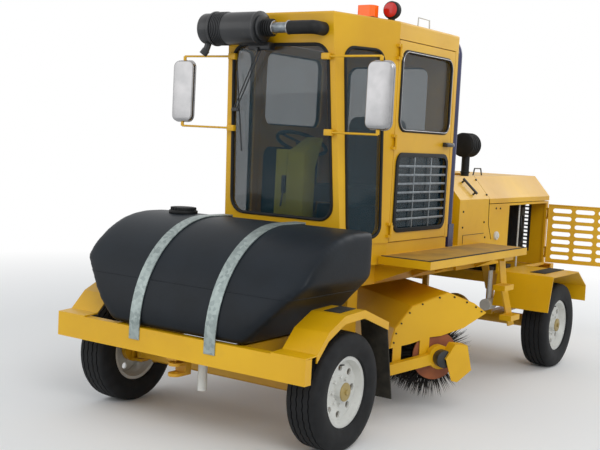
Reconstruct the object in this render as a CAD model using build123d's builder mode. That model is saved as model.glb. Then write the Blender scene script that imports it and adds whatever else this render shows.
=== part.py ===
import os
from math import cos, radians, sin

from build123d import *

os.makedirs("parts", exist_ok=True)

# A road broom: a four-wheel machine with a sweeping reel slung under its cab.
# Millimetres. +X points forward to the water tank, +Y to the machine's left, +Z up.
# The origin is on the ground, on the centreline, midway between the front strap and the
# tips of the open engine doors.

# Overall
front_x = 2310
rear_x = -2230
seat_gap = 0.3

# Wheels and axles
wheelbase = 3280
front_overhang = 510
front_axle_x = front_x - front_overhang
rear_axle_x = front_axle_x - wheelbase
tyre_radius = 350
tyre_width = 222
rim_radius = 208
rim_width = 165
rim_thick = 8
wheel_disc_thick = 12
wheel_disc_offset = 28
vent_count = 8
vent_radius = 21
vent_circle = 138
lug_count = 8
lug_circle = 82.5
hub_radius = 56
front_track = 1630
rear_track = 1720
axle_z = tyre_radius

# Main frame
rail_y = 460
rail_width = 60
rail_depth = 140
rail_top = 985
riser_front_x = 1160
riser_rear_x = 1040
drop_front_x = -960
drop_rear_x = -1080
rear_rail_top = 765
bumper_depth = 70
rail_rear_x = rear_x + bumper_depth
crossmember = 80

# Front beam, tank straps and fenders
strap_thick = 6
strap_width = 80
strap_y = 290
strap_foot_z = 545
beam_face_x = front_x - strap_thick
beam_depth = 60
beam_low = 475
beam_top = 618
beam_half_width = 947
beam_wall = 8
front_rail_low = beam_low
fender_inner = 715
fender_plate = 8
fender_lip = 40
flap_thick = 10

# Water tank
tank_nose_radius = 640
tank_top = 1262
tank_half_width = 850
tank_floor_half_width = 500
tank_rear_x = 1460
tank_corner = 130
tank_nose_half_width = 640
cap_radius = 95
cap_height = 40

# Hinges
pin_thick = 5
barrel_radius = 9
pin_out = 16
knuckle_length = 60

# Cab
cab_floor_z = 1128
cab_roof_z = 2590
header_z = 2476
cab_half_width = 570
cab_rear_x = -65
cab_wall = 36
door_front_x = 815
door_rear_x = -25
nose_x_low = 1256
nose_x_high = 1387
nose_half_low = 470
nose_half_high = 408
panel_gap = 6
skirt_half_width = 560
glass_thick = 8
glass_gap = 0.3
window_corner = 75

# Deck beside the cab
deck_top = 1047
deck_lip = 53
deck_plate = 8
deck_front_x = 916
deck_rear_x = -690
deck_half_width = 947

# Engine housing
housing_front_x = -294
housing_rear_x = -2131
housing_half_width = 550
housing_low = 770
housing_side_top = 1391
housing_ridge = 1562
ridge_half_width = 400
sheet = 20
lid_seam_x = -835
lid_low = 1352
lid_gap = 6
bay_front_x = -1244
bay_rear_x = -2090
bay_low = 794
bay_top = 1328
engine_door_open = 105

# Rear fenders
rear_fender_half = 1026

# Broom
pivot_x = 29
swing = 35
reel_length = 2134
reel_radius = 315
reel_z = 396
core_radius = 125
stub_radius = 20
running = 0.1
hood_end = 1085
hood_plate = 8
arm_inner = 1100
arm_thick = 50
arm_height = 70
arm_pivot_ahead = 420
arm_pivot_z = 306
cross_tube_radius = 42
pin_radius = 25
guard_plate = 6
guard_reach = 90
kingpin_radius = 30
swing_beam_low = 832
swing_beam_top = 896
swing_beam_width = 120
pivot_block_low = 905

# Rollover hoop
hoop_x = -150
hoop_radius = 27
hoop_y = 530
hoop_top = 2610
hoop_bend = 130

ahead = Vector(cos(radians(swing)), -sin(radians(swing)), 0)
along = Vector(sin(radians(swing)), cos(radians(swing)), 0)
broom_origin = Vector(pivot_x, 0, 0)


def side_plane(y):
    # An upright plane across the machine: local x is forward, local y is up.
    return Plane.XZ.offset(-y)


def broom_plane(t):
    # The same, turned with the broom, at t along its axis: it faces the right-hand end.
    return Plane(origin=broom_origin + along * t, x_dir=ahead, z_dir=along * -1)


def broom_point(a, t, z):
    # A point a ahead of the reel, t along it and z up.
    return broom_origin + ahead * a + along * t + Vector(0, 0, z)


def cab_half_plan(z):
    # Half the cab's plan at a height: nose corner, door post and rear corner.
    share = (z - cab_floor_z) / (cab_roof_z - cab_floor_z)
    nose_x = nose_x_low + share * (nose_x_high - nose_x_low)
    nose_half = nose_half_low + share * (nose_half_high - nose_half_low)
    return [(nose_x, nose_half), (door_front_x, cab_half_width), (cab_rear_x, cab_half_width)]


def cab_body(inset, low, high):
    # The cab's outer form between two heights, drawn in by an inset all round.
    sections = []
    for z in (low, high):
        half = cab_half_plan(z)
        with BuildSketch(Plane.XY.offset(z)) as section:
            with BuildLine():
                Polyline(*half, *[(x, -y) for x, y in reversed(half)], close=True)
            make_face()
            if inset:
                offset(amount=-inset, kind=Kind.INTERSECTION)
        sections.append(section.sketch)
    with BuildPart() as body:
        loft(sections)
    return body.part


def bar(start, end, radius):
    # A round bar between two points.
    run = Vector(*end) - Vector(*start)
    with BuildPart() as rod:
        with BuildSketch(Plane(origin=start, z_dir=run)):
            Circle(radius)
        extrude(amount=run.length)
    return rod.part


def finish(piece, label):
    piece.part.label = label
    export_step(piece.part, f"parts/{label}.step")


# Main frame: two rails arched over the broom, with cross members and the kingpin block
rail_outline = [
    (beam_face_x - beam_depth, front_rail_low),
    (beam_face_x - beam_depth, beam_top),
    (riser_front_x, beam_top),
    (riser_front_x, rail_top),
    (drop_front_x, rail_top),
    (drop_rear_x, rear_rail_top),
    (rail_rear_x, rear_rail_top),
    (rail_rear_x, rear_rail_top - rail_depth),
    (drop_rear_x - 60, rear_rail_top - rail_depth),
    (drop_front_x - 60, rail_top - rail_depth),
    (riser_rear_x, rail_top - rail_depth),
    (riser_rear_x, front_rail_low),
]
rail_outer = rail_y + rail_width / 2
rail_inner = rail_y - rail_width / 2
# x and middle height of each cross member
crossmembers = [
    (2160, beam_low + crossmember / 2),
    (1440, beam_low + crossmember / 2),
    (1100, rail_top - crossmember / 2),
    (-320, rail_top - crossmember / 2),
    (-860, rail_top - crossmember / 2),
    (-1140, rear_rail_top - crossmember / 2),
    (-2100, rear_rail_top - crossmember / 2),
]
with BuildPart() as frame_rails:
    with BuildSketch(side_plane(rail_outer)):
        with BuildLine():
            Polyline(*rail_outline, close=True)
        make_face()
    extrude(amount=rail_width)
    mirror(about=Plane.XZ)
    for x, z in crossmembers:
        with Locations((x, 0, z)):
            Box(crossmember, 2 * rail_inner, crossmember)
    with Locations((pivot_x, 0, (pivot_block_low + rail_top) / 2)):
        Box(3 * crossmember, 2 * rail_inner, rail_top - pivot_block_low)
        Cylinder(kingpin_radius + running, rail_top - pivot_block_low, mode=Mode.SUBTRACT)
finish(frame_rails, "frame_rails")

# Front beam: a channel with its web to the front
beam_mid_z = (beam_low + beam_top) / 2
with BuildPart() as front_beam:
    with Locations((beam_face_x - beam_depth / 2, 0, beam_mid_z)):
        Box(beam_depth, 2 * beam_half_width, beam_top - beam_low)
    with Locations((beam_face_x - beam_wall - beam_depth / 2, 0, beam_mid_z)):
        Box(beam_depth, 2 * beam_half_width - 2 * beam_wall, beam_top - beam_low - 2 * beam_wall, mode=Mode.SUBTRACT)
finish(front_beam, "front_beam")

# Tow hitch: two ears below the beam with one upright pin bore
hitch_y = 0
hitch_ear = 18
hitch_gap = 44
hitch_bore = 13
hitch_reach = 40
hitch_x = beam_face_x - 45
hitch_mid_z = beam_low - 70
with BuildPart() as tow_hitch:
    with BuildSketch(Plane.XY.offset(hitch_mid_z - hitch_gap / 2 - hitch_ear)):
        with Locations((hitch_x - 50, hitch_y)):
            Rectangle(100, 80)
        with Locations((hitch_x, hitch_y)):
            Circle(hitch_reach)
    extrude(amount=2 * hitch_ear + hitch_gap)
    with Locations((hitch_x + 10, hitch_y, hitch_mid_z)):
        Box(120, 80, hitch_gap, mode=Mode.SUBTRACT)
    with Locations((hitch_x, hitch_y, hitch_mid_z)):
        Cylinder(hitch_bore, 200, mode=Mode.SUBTRACT)
    hitch_top = hitch_mid_z + hitch_gap / 2 + hitch_ear
    with Locations((hitch_x - 75, hitch_y, (hitch_top + beam_low) / 2)):
        Box(50, 80, beam_low - hitch_top)
    with Locations((hitch_x - 30, hitch_y, beam_low - 5)):
        Box(140, 80, 10)
finish(tow_hitch, "tow_hitch")

# Front fenders: bent plate with a turned-down outer lip
# x and height of each bend, from the beam rearwards
front_fender_bends = [
    (beam_face_x, beam_top),
    (2194, beam_top + 6),
    (2086, 731),
    (1919, 807),
    (1706, 816),
    (1419, 712),
]
with BuildPart() as front_fenders:
    lower = [(x, z) for x, z in front_fender_bends]
    upper = [(x, z + fender_plate) for x, z in reversed(front_fender_bends)]
    with BuildSketch(side_plane(beam_half_width)):
        with BuildLine():
            Polyline(*lower, *upper, close=True)
        make_face()
    extrude(amount=beam_half_width - fender_inner)
    lip_top = [(x, z + fender_plate) for x, z in front_fender_bends[1:]]
    lip_low = [(x, z - fender_lip) for x, z in reversed(front_fender_bends[1:])]
    with BuildSketch(side_plane(beam_half_width)):
        with BuildLine():
            Polyline(*lip_top, *lip_low, close=True)
        make_face()
    extrude(amount=fender_plate)
    mirror(about=Plane.XZ)
finish(front_fenders, "front_fenders")

# Mud flaps behind the front wheels
flap_top_x = 1429
flap_low_x = 1322
flap_top_z = 712 - seat_gap
flap_low_z = 229
with BuildPart() as mud_flaps:
    with BuildSketch(side_plane(beam_half_width - fender_plate - 2)):
        with BuildLine():
            Polyline(
                (flap_top_x, flap_top_z),
                (flap_low_x, flap_low_z),
                (flap_low_x - flap_thick, flap_low_z),
                (flap_top_x - flap_thick, flap_top_z),
                close=True,
            )
        make_face()
    extrude(amount=beam_half_width - fender_inner - fender_plate - 40)
    mirror(about=Plane.XZ)
finish(mud_flaps, "mud_flaps")

# Water tank: a round-nosed moulding with bevelled lower edges
nose_x = beam_face_x - seat_gap
nose_centre_x = nose_x - tank_nose_radius
nose_centre_z = tank_top - tank_nose_radius
tank_low = beam_top + seat_gap


def tank_side_profile():
    with BuildSketch(side_plane(0)) as profile:
        with BuildLine():
            Line((tank_rear_x, tank_top), (nose_centre_x, tank_top))
            RadiusArc((nose_centre_x, tank_top), (nose_x, nose_centre_z), tank_nose_radius)
            Polyline(
                (nose_x, nose_centre_z),
                (nose_x, tank_low),
                (tank_rear_x, tank_low),
                (tank_rear_x, tank_top),
            )
        make_face()
    return profile.sketch


tank_profile = tank_side_profile()
tank_haunch_inset = 60
tank_haunch_z = 960
tank_flank_z = 1060
nose_taper_length = 235
nose_taper_fillet = 120
cap_x = 1620
cap_y = -535
# half-width and height of the tank's front outline
tank_front = [
    (tank_floor_half_width, tank_low),
    (tank_half_width - tank_haunch_inset, tank_haunch_z),
    (tank_half_width, tank_flank_z),
    (tank_half_width, tank_top),
]
with BuildPart() as water_tank:
    with BuildSketch(Plane.YZ.offset(tank_rear_x)) as front_outline:
        with BuildLine():
            Polyline(*tank_front, *[(-y, z) for y, z in reversed(tank_front)], close=True)
        make_face()
        fillet(front_outline.vertices().group_by(Axis.Y)[-1], tank_corner)
    extrude(amount=nose_x - tank_rear_x)
    with BuildSketch(side_plane(0)):
        add(tank_profile)
    extrude(amount=tank_half_width, both=True, mode=Mode.INTERSECT)
    with BuildSketch(Plane.XY.offset(tank_low)) as plan:
        with BuildLine():
            Polyline(
                (tank_rear_x, tank_half_width),
                (nose_x - nose_taper_length, tank_half_width),
                (nose_x, tank_nose_half_width),
                (nose_x, -tank_nose_half_width),
                (nose_x - nose_taper_length, -tank_half_width),
                (tank_rear_x, -tank_half_width),
                close=True,
            )
        make_face()
        fillet(plan.vertices().group_by(Axis.X)[1], nose_taper_fillet)
    extrude(amount=tank_top - tank_low, mode=Mode.INTERSECT)
    with Locations((cap_x, cap_y, tank_top + cap_height / 2)):
        Cylinder(cap_radius, cap_height)
finish(water_tank, "water_tank")

# Tank straps: steel bands over the tank, bolted to the beam's face
with BuildPart() as tank_straps:
    for y in (strap_y, -strap_y):
        with BuildSketch(side_plane(y)) as band:
            add(tank_profile)
            offset(amount=seat_gap + strap_thick, kind=Kind.INTERSECTION, mode=Mode.REPLACE)
            with BuildSketch(side_plane(y), mode=Mode.PRIVATE) as hollow:
                add(tank_profile)
                offset(amount=seat_gap, kind=Kind.INTERSECTION, mode=Mode.REPLACE)
            add(hollow.sketch, mode=Mode.SUBTRACT)
            with Locations(((nose_x + tank_rear_x) / 2, tank_low - 20)):
                Rectangle(1000, 80, mode=Mode.SUBTRACT)
            with Locations((front_x - strap_thick / 2, (strap_foot_z + beam_top + 40) / 2)):
                Rectangle(strap_thick, beam_top + 40 - strap_foot_z)
        extrude(amount=strap_width / 2, both=True)
finish(tank_straps, "tank_straps")


def tyre_profile():
    # Half the tyre's section as width from the middle and radius.
    half = tyre_width / 2
    return [
        (half - 26, rim_radius + seat_gap),
        (half, rim_radius + 62),
        (half - 8, tyre_radius - 34),
        (half - 26, tyre_radius - 6),
        (half - 60, tyre_radius),
    ]


# Wheels: one rim and one tyre at each corner
# name, axle x, half track and side
wheels = [
    ("front_left", front_axle_x, front_track / 2, 1),
    ("front_right", front_axle_x, front_track / 2, -1),
    ("rear_left", rear_axle_x, rear_track / 2, 1),
    ("rear_right", rear_axle_x, rear_track / 2, -1),
]
for name, x, half_track, hand in wheels:
    wheel_plane = Plane(origin=(x, hand * half_track, axle_z), x_dir=(1, 0, 0), z_dir=(0, hand, 0))
    section_plane = Plane(origin=(x, hand * half_track, axle_z), x_dir=(0, hand, 0), z_dir=(hand, 0, 0))
    spin_axis = Axis((x, hand * half_track, axle_z), (0, hand, 0))
    with BuildPart() as tyre:
        with BuildSketch(section_plane):
            with BuildLine():
                half = tyre_profile()
                Polyline(*half, *[(-w, r) for w, r in reversed(half)], close=True)
            make_face()
        revolve(axis=spin_axis)
    finish(tyre, f"tyre_{name}")

    with BuildPart() as rim:
        half_rim = rim_width / 2
        barrel = rim_radius - 26
        with BuildSketch(section_plane):
            with BuildLine():
                Polyline(
                    (half_rim, rim_radius),
                    (half_rim - 12, rim_radius),
                    (half_rim - 14, rim_radius - 18),
                    (half_rim - 45, barrel),
                    (-half_rim + 45, barrel),
                    (-half_rim + 14, rim_radius - 18),
                    (-half_rim + 12, rim_radius),
                    (-half_rim, rim_radius),
                    (-half_rim, rim_radius - 20),
                    (-half_rim + 40, barrel - rim_thick),
                    (half_rim - 40, barrel - rim_thick),
                    (half_rim, rim_radius - 20),
                    close=True,
                )
            make_face()
        revolve(axis=spin_axis)
        with BuildSketch(wheel_plane.offset(wheel_disc_offset)):
            Circle(barrel - 2)
            with PolarLocations(vent_circle, vent_count):
                Circle(vent_radius, mode=Mode.SUBTRACT)
        extrude(amount=wheel_disc_thick)
        with BuildSketch(wheel_plane.offset(wheel_disc_offset - 6)):
            Circle(hub_radius)
        extrude(amount=wheel_disc_thick + 46)
        with BuildSketch(wheel_plane.offset(wheel_disc_offset + wheel_disc_thick)):
            with PolarLocations(lug_circle, lug_count):
                Circle(9)
        extrude(amount=14)
        with BuildSketch(wheel_plane.offset(wheel_disc_offset - 6)):
            Circle(22 + running)
        extrude(amount=30, mode=Mode.SUBTRACT)
    finish(rim, f"rim_{name}")

# Front axle: a box beam under the rails with an upright kingpin boss at each end
kingpin_y = front_track / 2 - 125
axle_section = 90
boss_radius = 32
boss_height = 110
steer_pin = 15
with BuildPart() as front_axle:
    with Locations((front_axle_x, 0, axle_z)):
        Box(axle_section, 2 * kingpin_y - 2 * boss_radius + 10, axle_section)
    for y in (kingpin_y, -kingpin_y):
        with Locations((front_axle_x, y, axle_z)):
            Cylinder(boss_radius, boss_height)
            Cylinder(steer_pin + running, boss_height, mode=Mode.SUBTRACT)
    for y in (rail_y, -rail_y):
        with Locations((front_axle_x, y, (axle_z + axle_section / 2 + front_rail_low) / 2)):
            Box(140, rail_width, front_rail_low - axle_z - axle_section / 2)
finish(front_axle, "front_axle")

# Steering knuckles: a yoke round the boss, a spindle outwards and an arm to the rear
yoke_gap = 5
yoke_plate = 18
spindle_radius = 22
arm_back = 140
yoke_low = axle_z - boss_height / 2 - yoke_gap - yoke_plate
yoke_high = axle_z + boss_height / 2 + yoke_gap
for side, hand in (("left", 1), ("right", -1)):
    pin_y = hand * kingpin_y
    with BuildPart() as knuckle:
        with Locations((front_axle_x, pin_y, axle_z)):
            Cylinder(steer_pin, boss_height + 2 * yoke_gap + 2 * yoke_plate)
        for z in (yoke_low + yoke_plate / 2, yoke_high + yoke_plate / 2):
            with Locations((front_axle_x, pin_y + hand * 12, z)):
                Box(70, 84, yoke_plate)
        with Locations((front_axle_x, pin_y + hand * 47, axle_z)):
            Box(70, 16, boss_height + 2 * yoke_gap + 2 * yoke_plate)
        spindle_tip = front_track / 2 + wheel_disc_offset + 16
        spindle_root = kingpin_y + 50
        with Locations((front_axle_x, hand * (spindle_root + spindle_tip) / 2, axle_z)):
            Cylinder(spindle_radius, spindle_tip - spindle_root, rotation=(90, 0, 0))
        with Locations((front_axle_x, hand * (kingpin_y + 78), axle_z)):
            Cylinder(90, 36, rotation=(90, 0, 0))
        with Locations((front_axle_x - arm_back / 2, pin_y, yoke_low + yoke_plate / 2)):
            Box(arm_back, 34, yoke_plate)
        with Locations((front_axle_x - arm_back, pin_y, yoke_low + yoke_plate / 2)):
            Cylinder(24, yoke_plate)
    finish(knuckle, f"knuckle_{side}")

# Tie rod below the steering arms
tie_radius = 15
tie_z = yoke_low - seat_gap - tie_radius
with BuildPart() as tie_rod:
    with Locations((front_axle_x - arm_back, 0, tie_z)):
        Cylinder(tie_radius, 2 * kingpin_y, rotation=(90, 0, 0))
    for y in (kingpin_y, -kingpin_y):
        with Locations((front_axle_x - arm_back, y, tie_z)):
            Cylinder(24, 2 * tie_radius - 4)
finish(tie_rod, "tie_rod")

# Rear axle with its differential and leaf springs on hangers
axle_tube = 52
spring_half = 330
spring_width = 60
spring_low = axle_z + axle_tube
rear_rail_low = rear_rail_top - rail_depth
tube_to_rim = 12
differential_radius = 150
brake_radius = 95
brake_thick = 18
spindle_past_disc = 16
leaf_thick = 12
clamp_length = 110
clamp_height = 40
hanger_length = 40
hanger_inset = 20
with BuildPart() as rear_axle:
    tube_half = rear_track / 2 - rim_width / 2 - tube_to_rim
    with Locations((rear_axle_x, 0, axle_z)):
        Cylinder(axle_tube, 2 * tube_half, rotation=(90, 0, 0))
    with BuildSketch(Plane(origin=(rear_axle_x, 0, axle_z), x_dir=(0, 1, 0), z_dir=(1, 0, 0))):
        with BuildLine():
            Line((-differential_radius, 0), (differential_radius, 0))
            ThreePointArc((differential_radius, 0), (0, differential_radius), (-differential_radius, 0))
        make_face()
    revolve(axis=Axis((rear_axle_x, 0, axle_z), (0, 1, 0)))
    for y in (tube_half - brake_thick / 2, -tube_half + brake_thick / 2):
        with Locations((rear_axle_x, y, axle_z)):
            Cylinder(brake_radius, brake_thick, rotation=(90, 0, 0))
    spindle_out = rear_track / 2 + wheel_disc_offset + spindle_past_disc
    with Locations((rear_axle_x, 0, axle_z)):
        Cylinder(spindle_radius, 2 * spindle_out, rotation=(90, 0, 0))
    for y in (rail_y, -rail_y):
        # half length and height of each leaf from the axle up
        leaves = [(200, 0), (265, leaf_thick), (spring_half, 2 * leaf_thick)]
        for half_leaf, rise in leaves:
            with Locations((rear_axle_x, y, spring_low + leaf_thick / 2 + rise)):
                Box(2 * half_leaf, spring_width, leaf_thick)
        with Locations((rear_axle_x, y, spring_low - 15)):
            Box(clamp_length, spring_width + 20, clamp_height)
        hanger_reach = spring_half - hanger_inset
        for x in (rear_axle_x - hanger_reach, rear_axle_x + hanger_reach):
            with Locations((x, y, (spring_low + leaf_thick + rear_rail_low) / 2)):
                Box(hanger_length, spring_width - 8, rear_rail_low - spring_low - leaf_thick)
finish(rear_axle, "rear_axle")

# Side decks: folded plate on triangular brackets
rail_low = rail_top - rail_depth
deck_inner = skirt_half_width + seat_gap
# x and inner edge of each bracket
brackets = [(820, rail_outer), (290, rail_outer), (-80, rail_outer), (-640, housing_half_width)]
with BuildPart() as side_decks:
    deck_width = deck_half_width - deck_inner
    deck_mid = (deck_half_width + deck_inner) / 2
    with Locations(((deck_front_x + deck_rear_x) / 2, deck_mid, deck_top - deck_lip / 2)):
        Box(deck_front_x - deck_rear_x, deck_width, deck_lip)
    with Locations(((deck_front_x + deck_rear_x) / 2, deck_mid - deck_plate, deck_top - deck_plate - deck_lip / 2)):
        Box(deck_front_x - deck_rear_x - 2 * deck_plate, deck_width, deck_lip, mode=Mode.SUBTRACT)
    for x, inner in brackets:
        with BuildSketch(Plane.YZ.offset(x)):
            with BuildLine():
                Polyline(
                    (inner + seat_gap, rail_top - 5),
                    (inner + seat_gap, rail_low + 10),
                    (deck_half_width - 60, deck_top - deck_plate - 20),
                    (deck_half_width - 60, deck_top - deck_plate),
                    (deck_inner + 1, deck_top - deck_plate),
                    (deck_inner + 1, rail_top - 5),
                    close=True,
                )
            make_face()
        extrude(amount=8)
    mirror(about=Plane.XZ)
finish(side_decks, "side_decks")

# Access steps: a leaning side plate under the left deck's rear end with treads outwards
stringer_y = 800
stringer_thick = 12
stringer_depth = 110
tread_length = 170
tread_width = 95
tread_thick = 40
tread_slot = 20
tread_slot_pitch = 36
tread_slot_count = 4
tread_border = 15
# x and height of the side plate's front edge
stringer_line = [(-470, deck_top - deck_plate), (-560, 745), (-760, 410)]
# front edge and top height of each tread
treads = [(-365, 1000), (-410, 768), (-568, 521)]
with BuildPart() as access_steps:
    with BuildSketch(side_plane(stringer_y + stringer_thick)):
        with BuildLine():
            Polyline(
                *stringer_line,
                *[(x - stringer_depth, z) for x, z in reversed(stringer_line)],
                close=True,
            )
        make_face()
    extrude(amount=stringer_thick)
    for x, z in treads:
        with Locations((x - tread_length / 2, stringer_y + stringer_thick + tread_width / 2 - 1, z - tread_thick / 2)):
            Box(tread_length, tread_width, tread_thick)
            with GridLocations(tread_slot_pitch, 0, tread_slot_count, 1):
                Box(tread_slot, tread_width - 2 * tread_border, tread_thick, mode=Mode.SUBTRACT)
finish(access_steps, "access_steps")

# Cab base: skirt, floor and the deck behind the cab
nose_x_skirt = nose_x_low - 6
with BuildPart() as cab_base:
    with BuildSketch(Plane.XY.offset(rail_top)):
        with BuildLine():
            half = [
                (nose_x_skirt, nose_half_low - 10),
                (door_front_x, skirt_half_width),
                (cab_rear_x, skirt_half_width),
            ]
            Polyline(*half, *[(x, -y) for x, y in reversed(half)], close=True)
        make_face()
    extrude(amount=cab_floor_z - rail_top)
    with BuildSketch(Plane.XY.offset(rail_top)):
        with BuildLine():
            Polyline(*half, *[(x, -y) for x, y in reversed(half)], close=True)
        make_face()
        offset(amount=-16, kind=Kind.INTERSECTION)
    extrude(amount=cab_floor_z - rail_top - 40, mode=Mode.SUBTRACT)
    for y in (rail_y, -rail_y):
        with Locations(((nose_x_skirt + cab_rear_x) / 2, y, (rail_top + cab_floor_z - 20) / 2)):
            Box(nose_x_skirt - cab_rear_x - 60, rail_width, cab_floor_z - 20 - rail_top)
    with Locations(((cab_rear_x + housing_front_x) / 2, 0, (rail_top + deck_top) / 2)):
        Box(cab_rear_x - housing_front_x, 2 * skirt_half_width, deck_top - rail_top)
    with Locations(((cab_rear_x + housing_front_x) / 2, 0, (rail_top + deck_top) / 2 - deck_plate)):
        Box(cab_rear_x - housing_front_x - 24, 2 * skirt_half_width - 24, deck_top - rail_top, mode=Mode.SUBTRACT)
    for y in (rail_y, -rail_y):
        with Locations(((cab_rear_x + housing_front_x) / 2, y, (rail_top + deck_top - 4) / 2)):
            Box(cab_rear_x - housing_front_x - 10, rail_width, deck_top - 4 - rail_top)
finish(cab_base, "cab_base")

# Cab shell, cut into the front, the rear frame and the roof
cab_outer = cab_body(0, cab_floor_z, cab_roof_z)
cab_inner = cab_body(cab_wall, cab_floor_z - 1, cab_roof_z - cab_wall)
glass_outer = cab_body(cab_wall / 2 - glass_thick / 2, cab_floor_z, cab_roof_z)
glass_inner = cab_body(cab_wall / 2 + glass_thick / 2, cab_floor_z - 1, cab_roof_z + 1)

# half-width and height of the windscreen opening's corners
windscreen_corners = [(407, 1278), (371, 2386)]
# x and height of the quarter window's corners
quarter_corners = [(1200, 1190), (1280, 2380), (950, 2385), (900, 1165)]
rear_window = (700, 560, 2080)


def windscreen_face(shrink):
    with BuildSketch(Plane.YZ.offset(nose_x_low - 200)) as face:
        with BuildLine():
            Polyline(*windscreen_corners, *[(-y, z) for y, z in reversed(windscreen_corners)], close=True)
        make_face()
        fillet(face.vertices(), 95)
        if shrink:
            offset(amount=-shrink)
    return face.sketch


def quarter_face(shrink):
    with BuildSketch(side_plane(0)) as face:
        with BuildLine():
            Polyline(*quarter_corners, close=True)
        make_face()
        fillet(face.vertices(), window_corner)
        if shrink:
            offset(amount=-shrink)
    return face.sketch


def rear_face(shrink):
    width, height, middle = rear_window
    with BuildSketch(Plane.YZ.offset(cab_rear_x - 10)) as face:
        with Locations((0, middle)):
            RectangleRounded(width - 2 * shrink, height - 2 * shrink, window_corner)
    return face.sketch


windscreen_cut = windscreen_face(0)
quarter_cut = quarter_face(0)
rear_cut = rear_face(0)
windscreen_pane = windscreen_face(glass_gap)
quarter_pane = quarter_face(glass_gap)
rear_pane = rear_face(glass_gap)

cab_top_z = header_z
door_pin_y = cab_half_width + pin_out
door_hinges = [1215, 1800, 2390]
with BuildPart() as cab_front:
    add(cab_outer)
    add(cab_inner, mode=Mode.SUBTRACT)
    with Locations((door_front_x + 400, 0, (cab_floor_z + cab_top_z) / 2)):
        Box(800, 1400, cab_top_z - cab_floor_z, mode=Mode.INTERSECT)
    extrude(windscreen_cut, amount=500, mode=Mode.SUBTRACT)
    extrude(quarter_cut, amount=700, both=True, mode=Mode.SUBTRACT)
    for y, hand in ((door_pin_y, 1), (-door_pin_y, -1)):
        for z in door_hinges:
            pin_reach = knuckle_length / 2 + 20
            add(bar((door_front_x, y, z - pin_reach), (door_front_x, y, z + pin_reach), pin_thick))
            for end in (1, -1):
                lug_z = z + end * (knuckle_length / 2 + 11)
                with Locations((door_front_x + 14, y - hand * 13, lug_z)):
                    Box(28, 26, 18)
                with Locations((door_front_x, y, lug_z)):
                    Cylinder(barrel_radius, 18)
finish(cab_front, "cab_front")

with BuildPart() as cab_rear:
    add(cab_outer)
    add(cab_inner, mode=Mode.SUBTRACT)
    with Locations(((door_rear_x + cab_rear_x) / 2 - 20, 0, (cab_floor_z + cab_top_z) / 2)):
        Box(door_rear_x - cab_rear_x + 40, 1400, cab_top_z - cab_floor_z, mode=Mode.INTERSECT)
    extrude(rear_cut, amount=100, mode=Mode.SUBTRACT)
finish(cab_rear, "cab_rear")

with BuildPart() as cab_roof:
    add(cab_outer)
    add(cab_inner, mode=Mode.SUBTRACT)
    with Locations((600, 0, (cab_roof_z + cab_top_z) / 2)):
        Box(1800, 1400, cab_roof_z - cab_top_z, mode=Mode.INTERSECT)
    top_edges = cab_roof.edges().filter_by_position(Axis.Z, cab_roof_z - 1, cab_roof_z + 1)
    fillet(top_edges, 14)
finish(cab_roof, "cab_roof")

with BuildPart() as front_panes:
    add(glass_outer)
    add(glass_inner, mode=Mode.SUBTRACT)
    extrude(windscreen_pane, amount=500, mode=Mode.INTERSECT)
with BuildPart() as quarter_panes:
    add(glass_outer)
    add(glass_inner, mode=Mode.SUBTRACT)
    extrude(quarter_pane, amount=700, both=True, mode=Mode.INTERSECT)
with BuildPart() as rear_panes:
    add(glass_outer)
    add(glass_inner, mode=Mode.SUBTRACT)
    extrude(rear_pane, amount=100, mode=Mode.INTERSECT)
with BuildPart() as cab_glass:
    add(front_panes.part)
    add(quarter_panes.part)
    add(rear_panes.part)
finish(cab_glass, "cab_glass")

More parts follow.
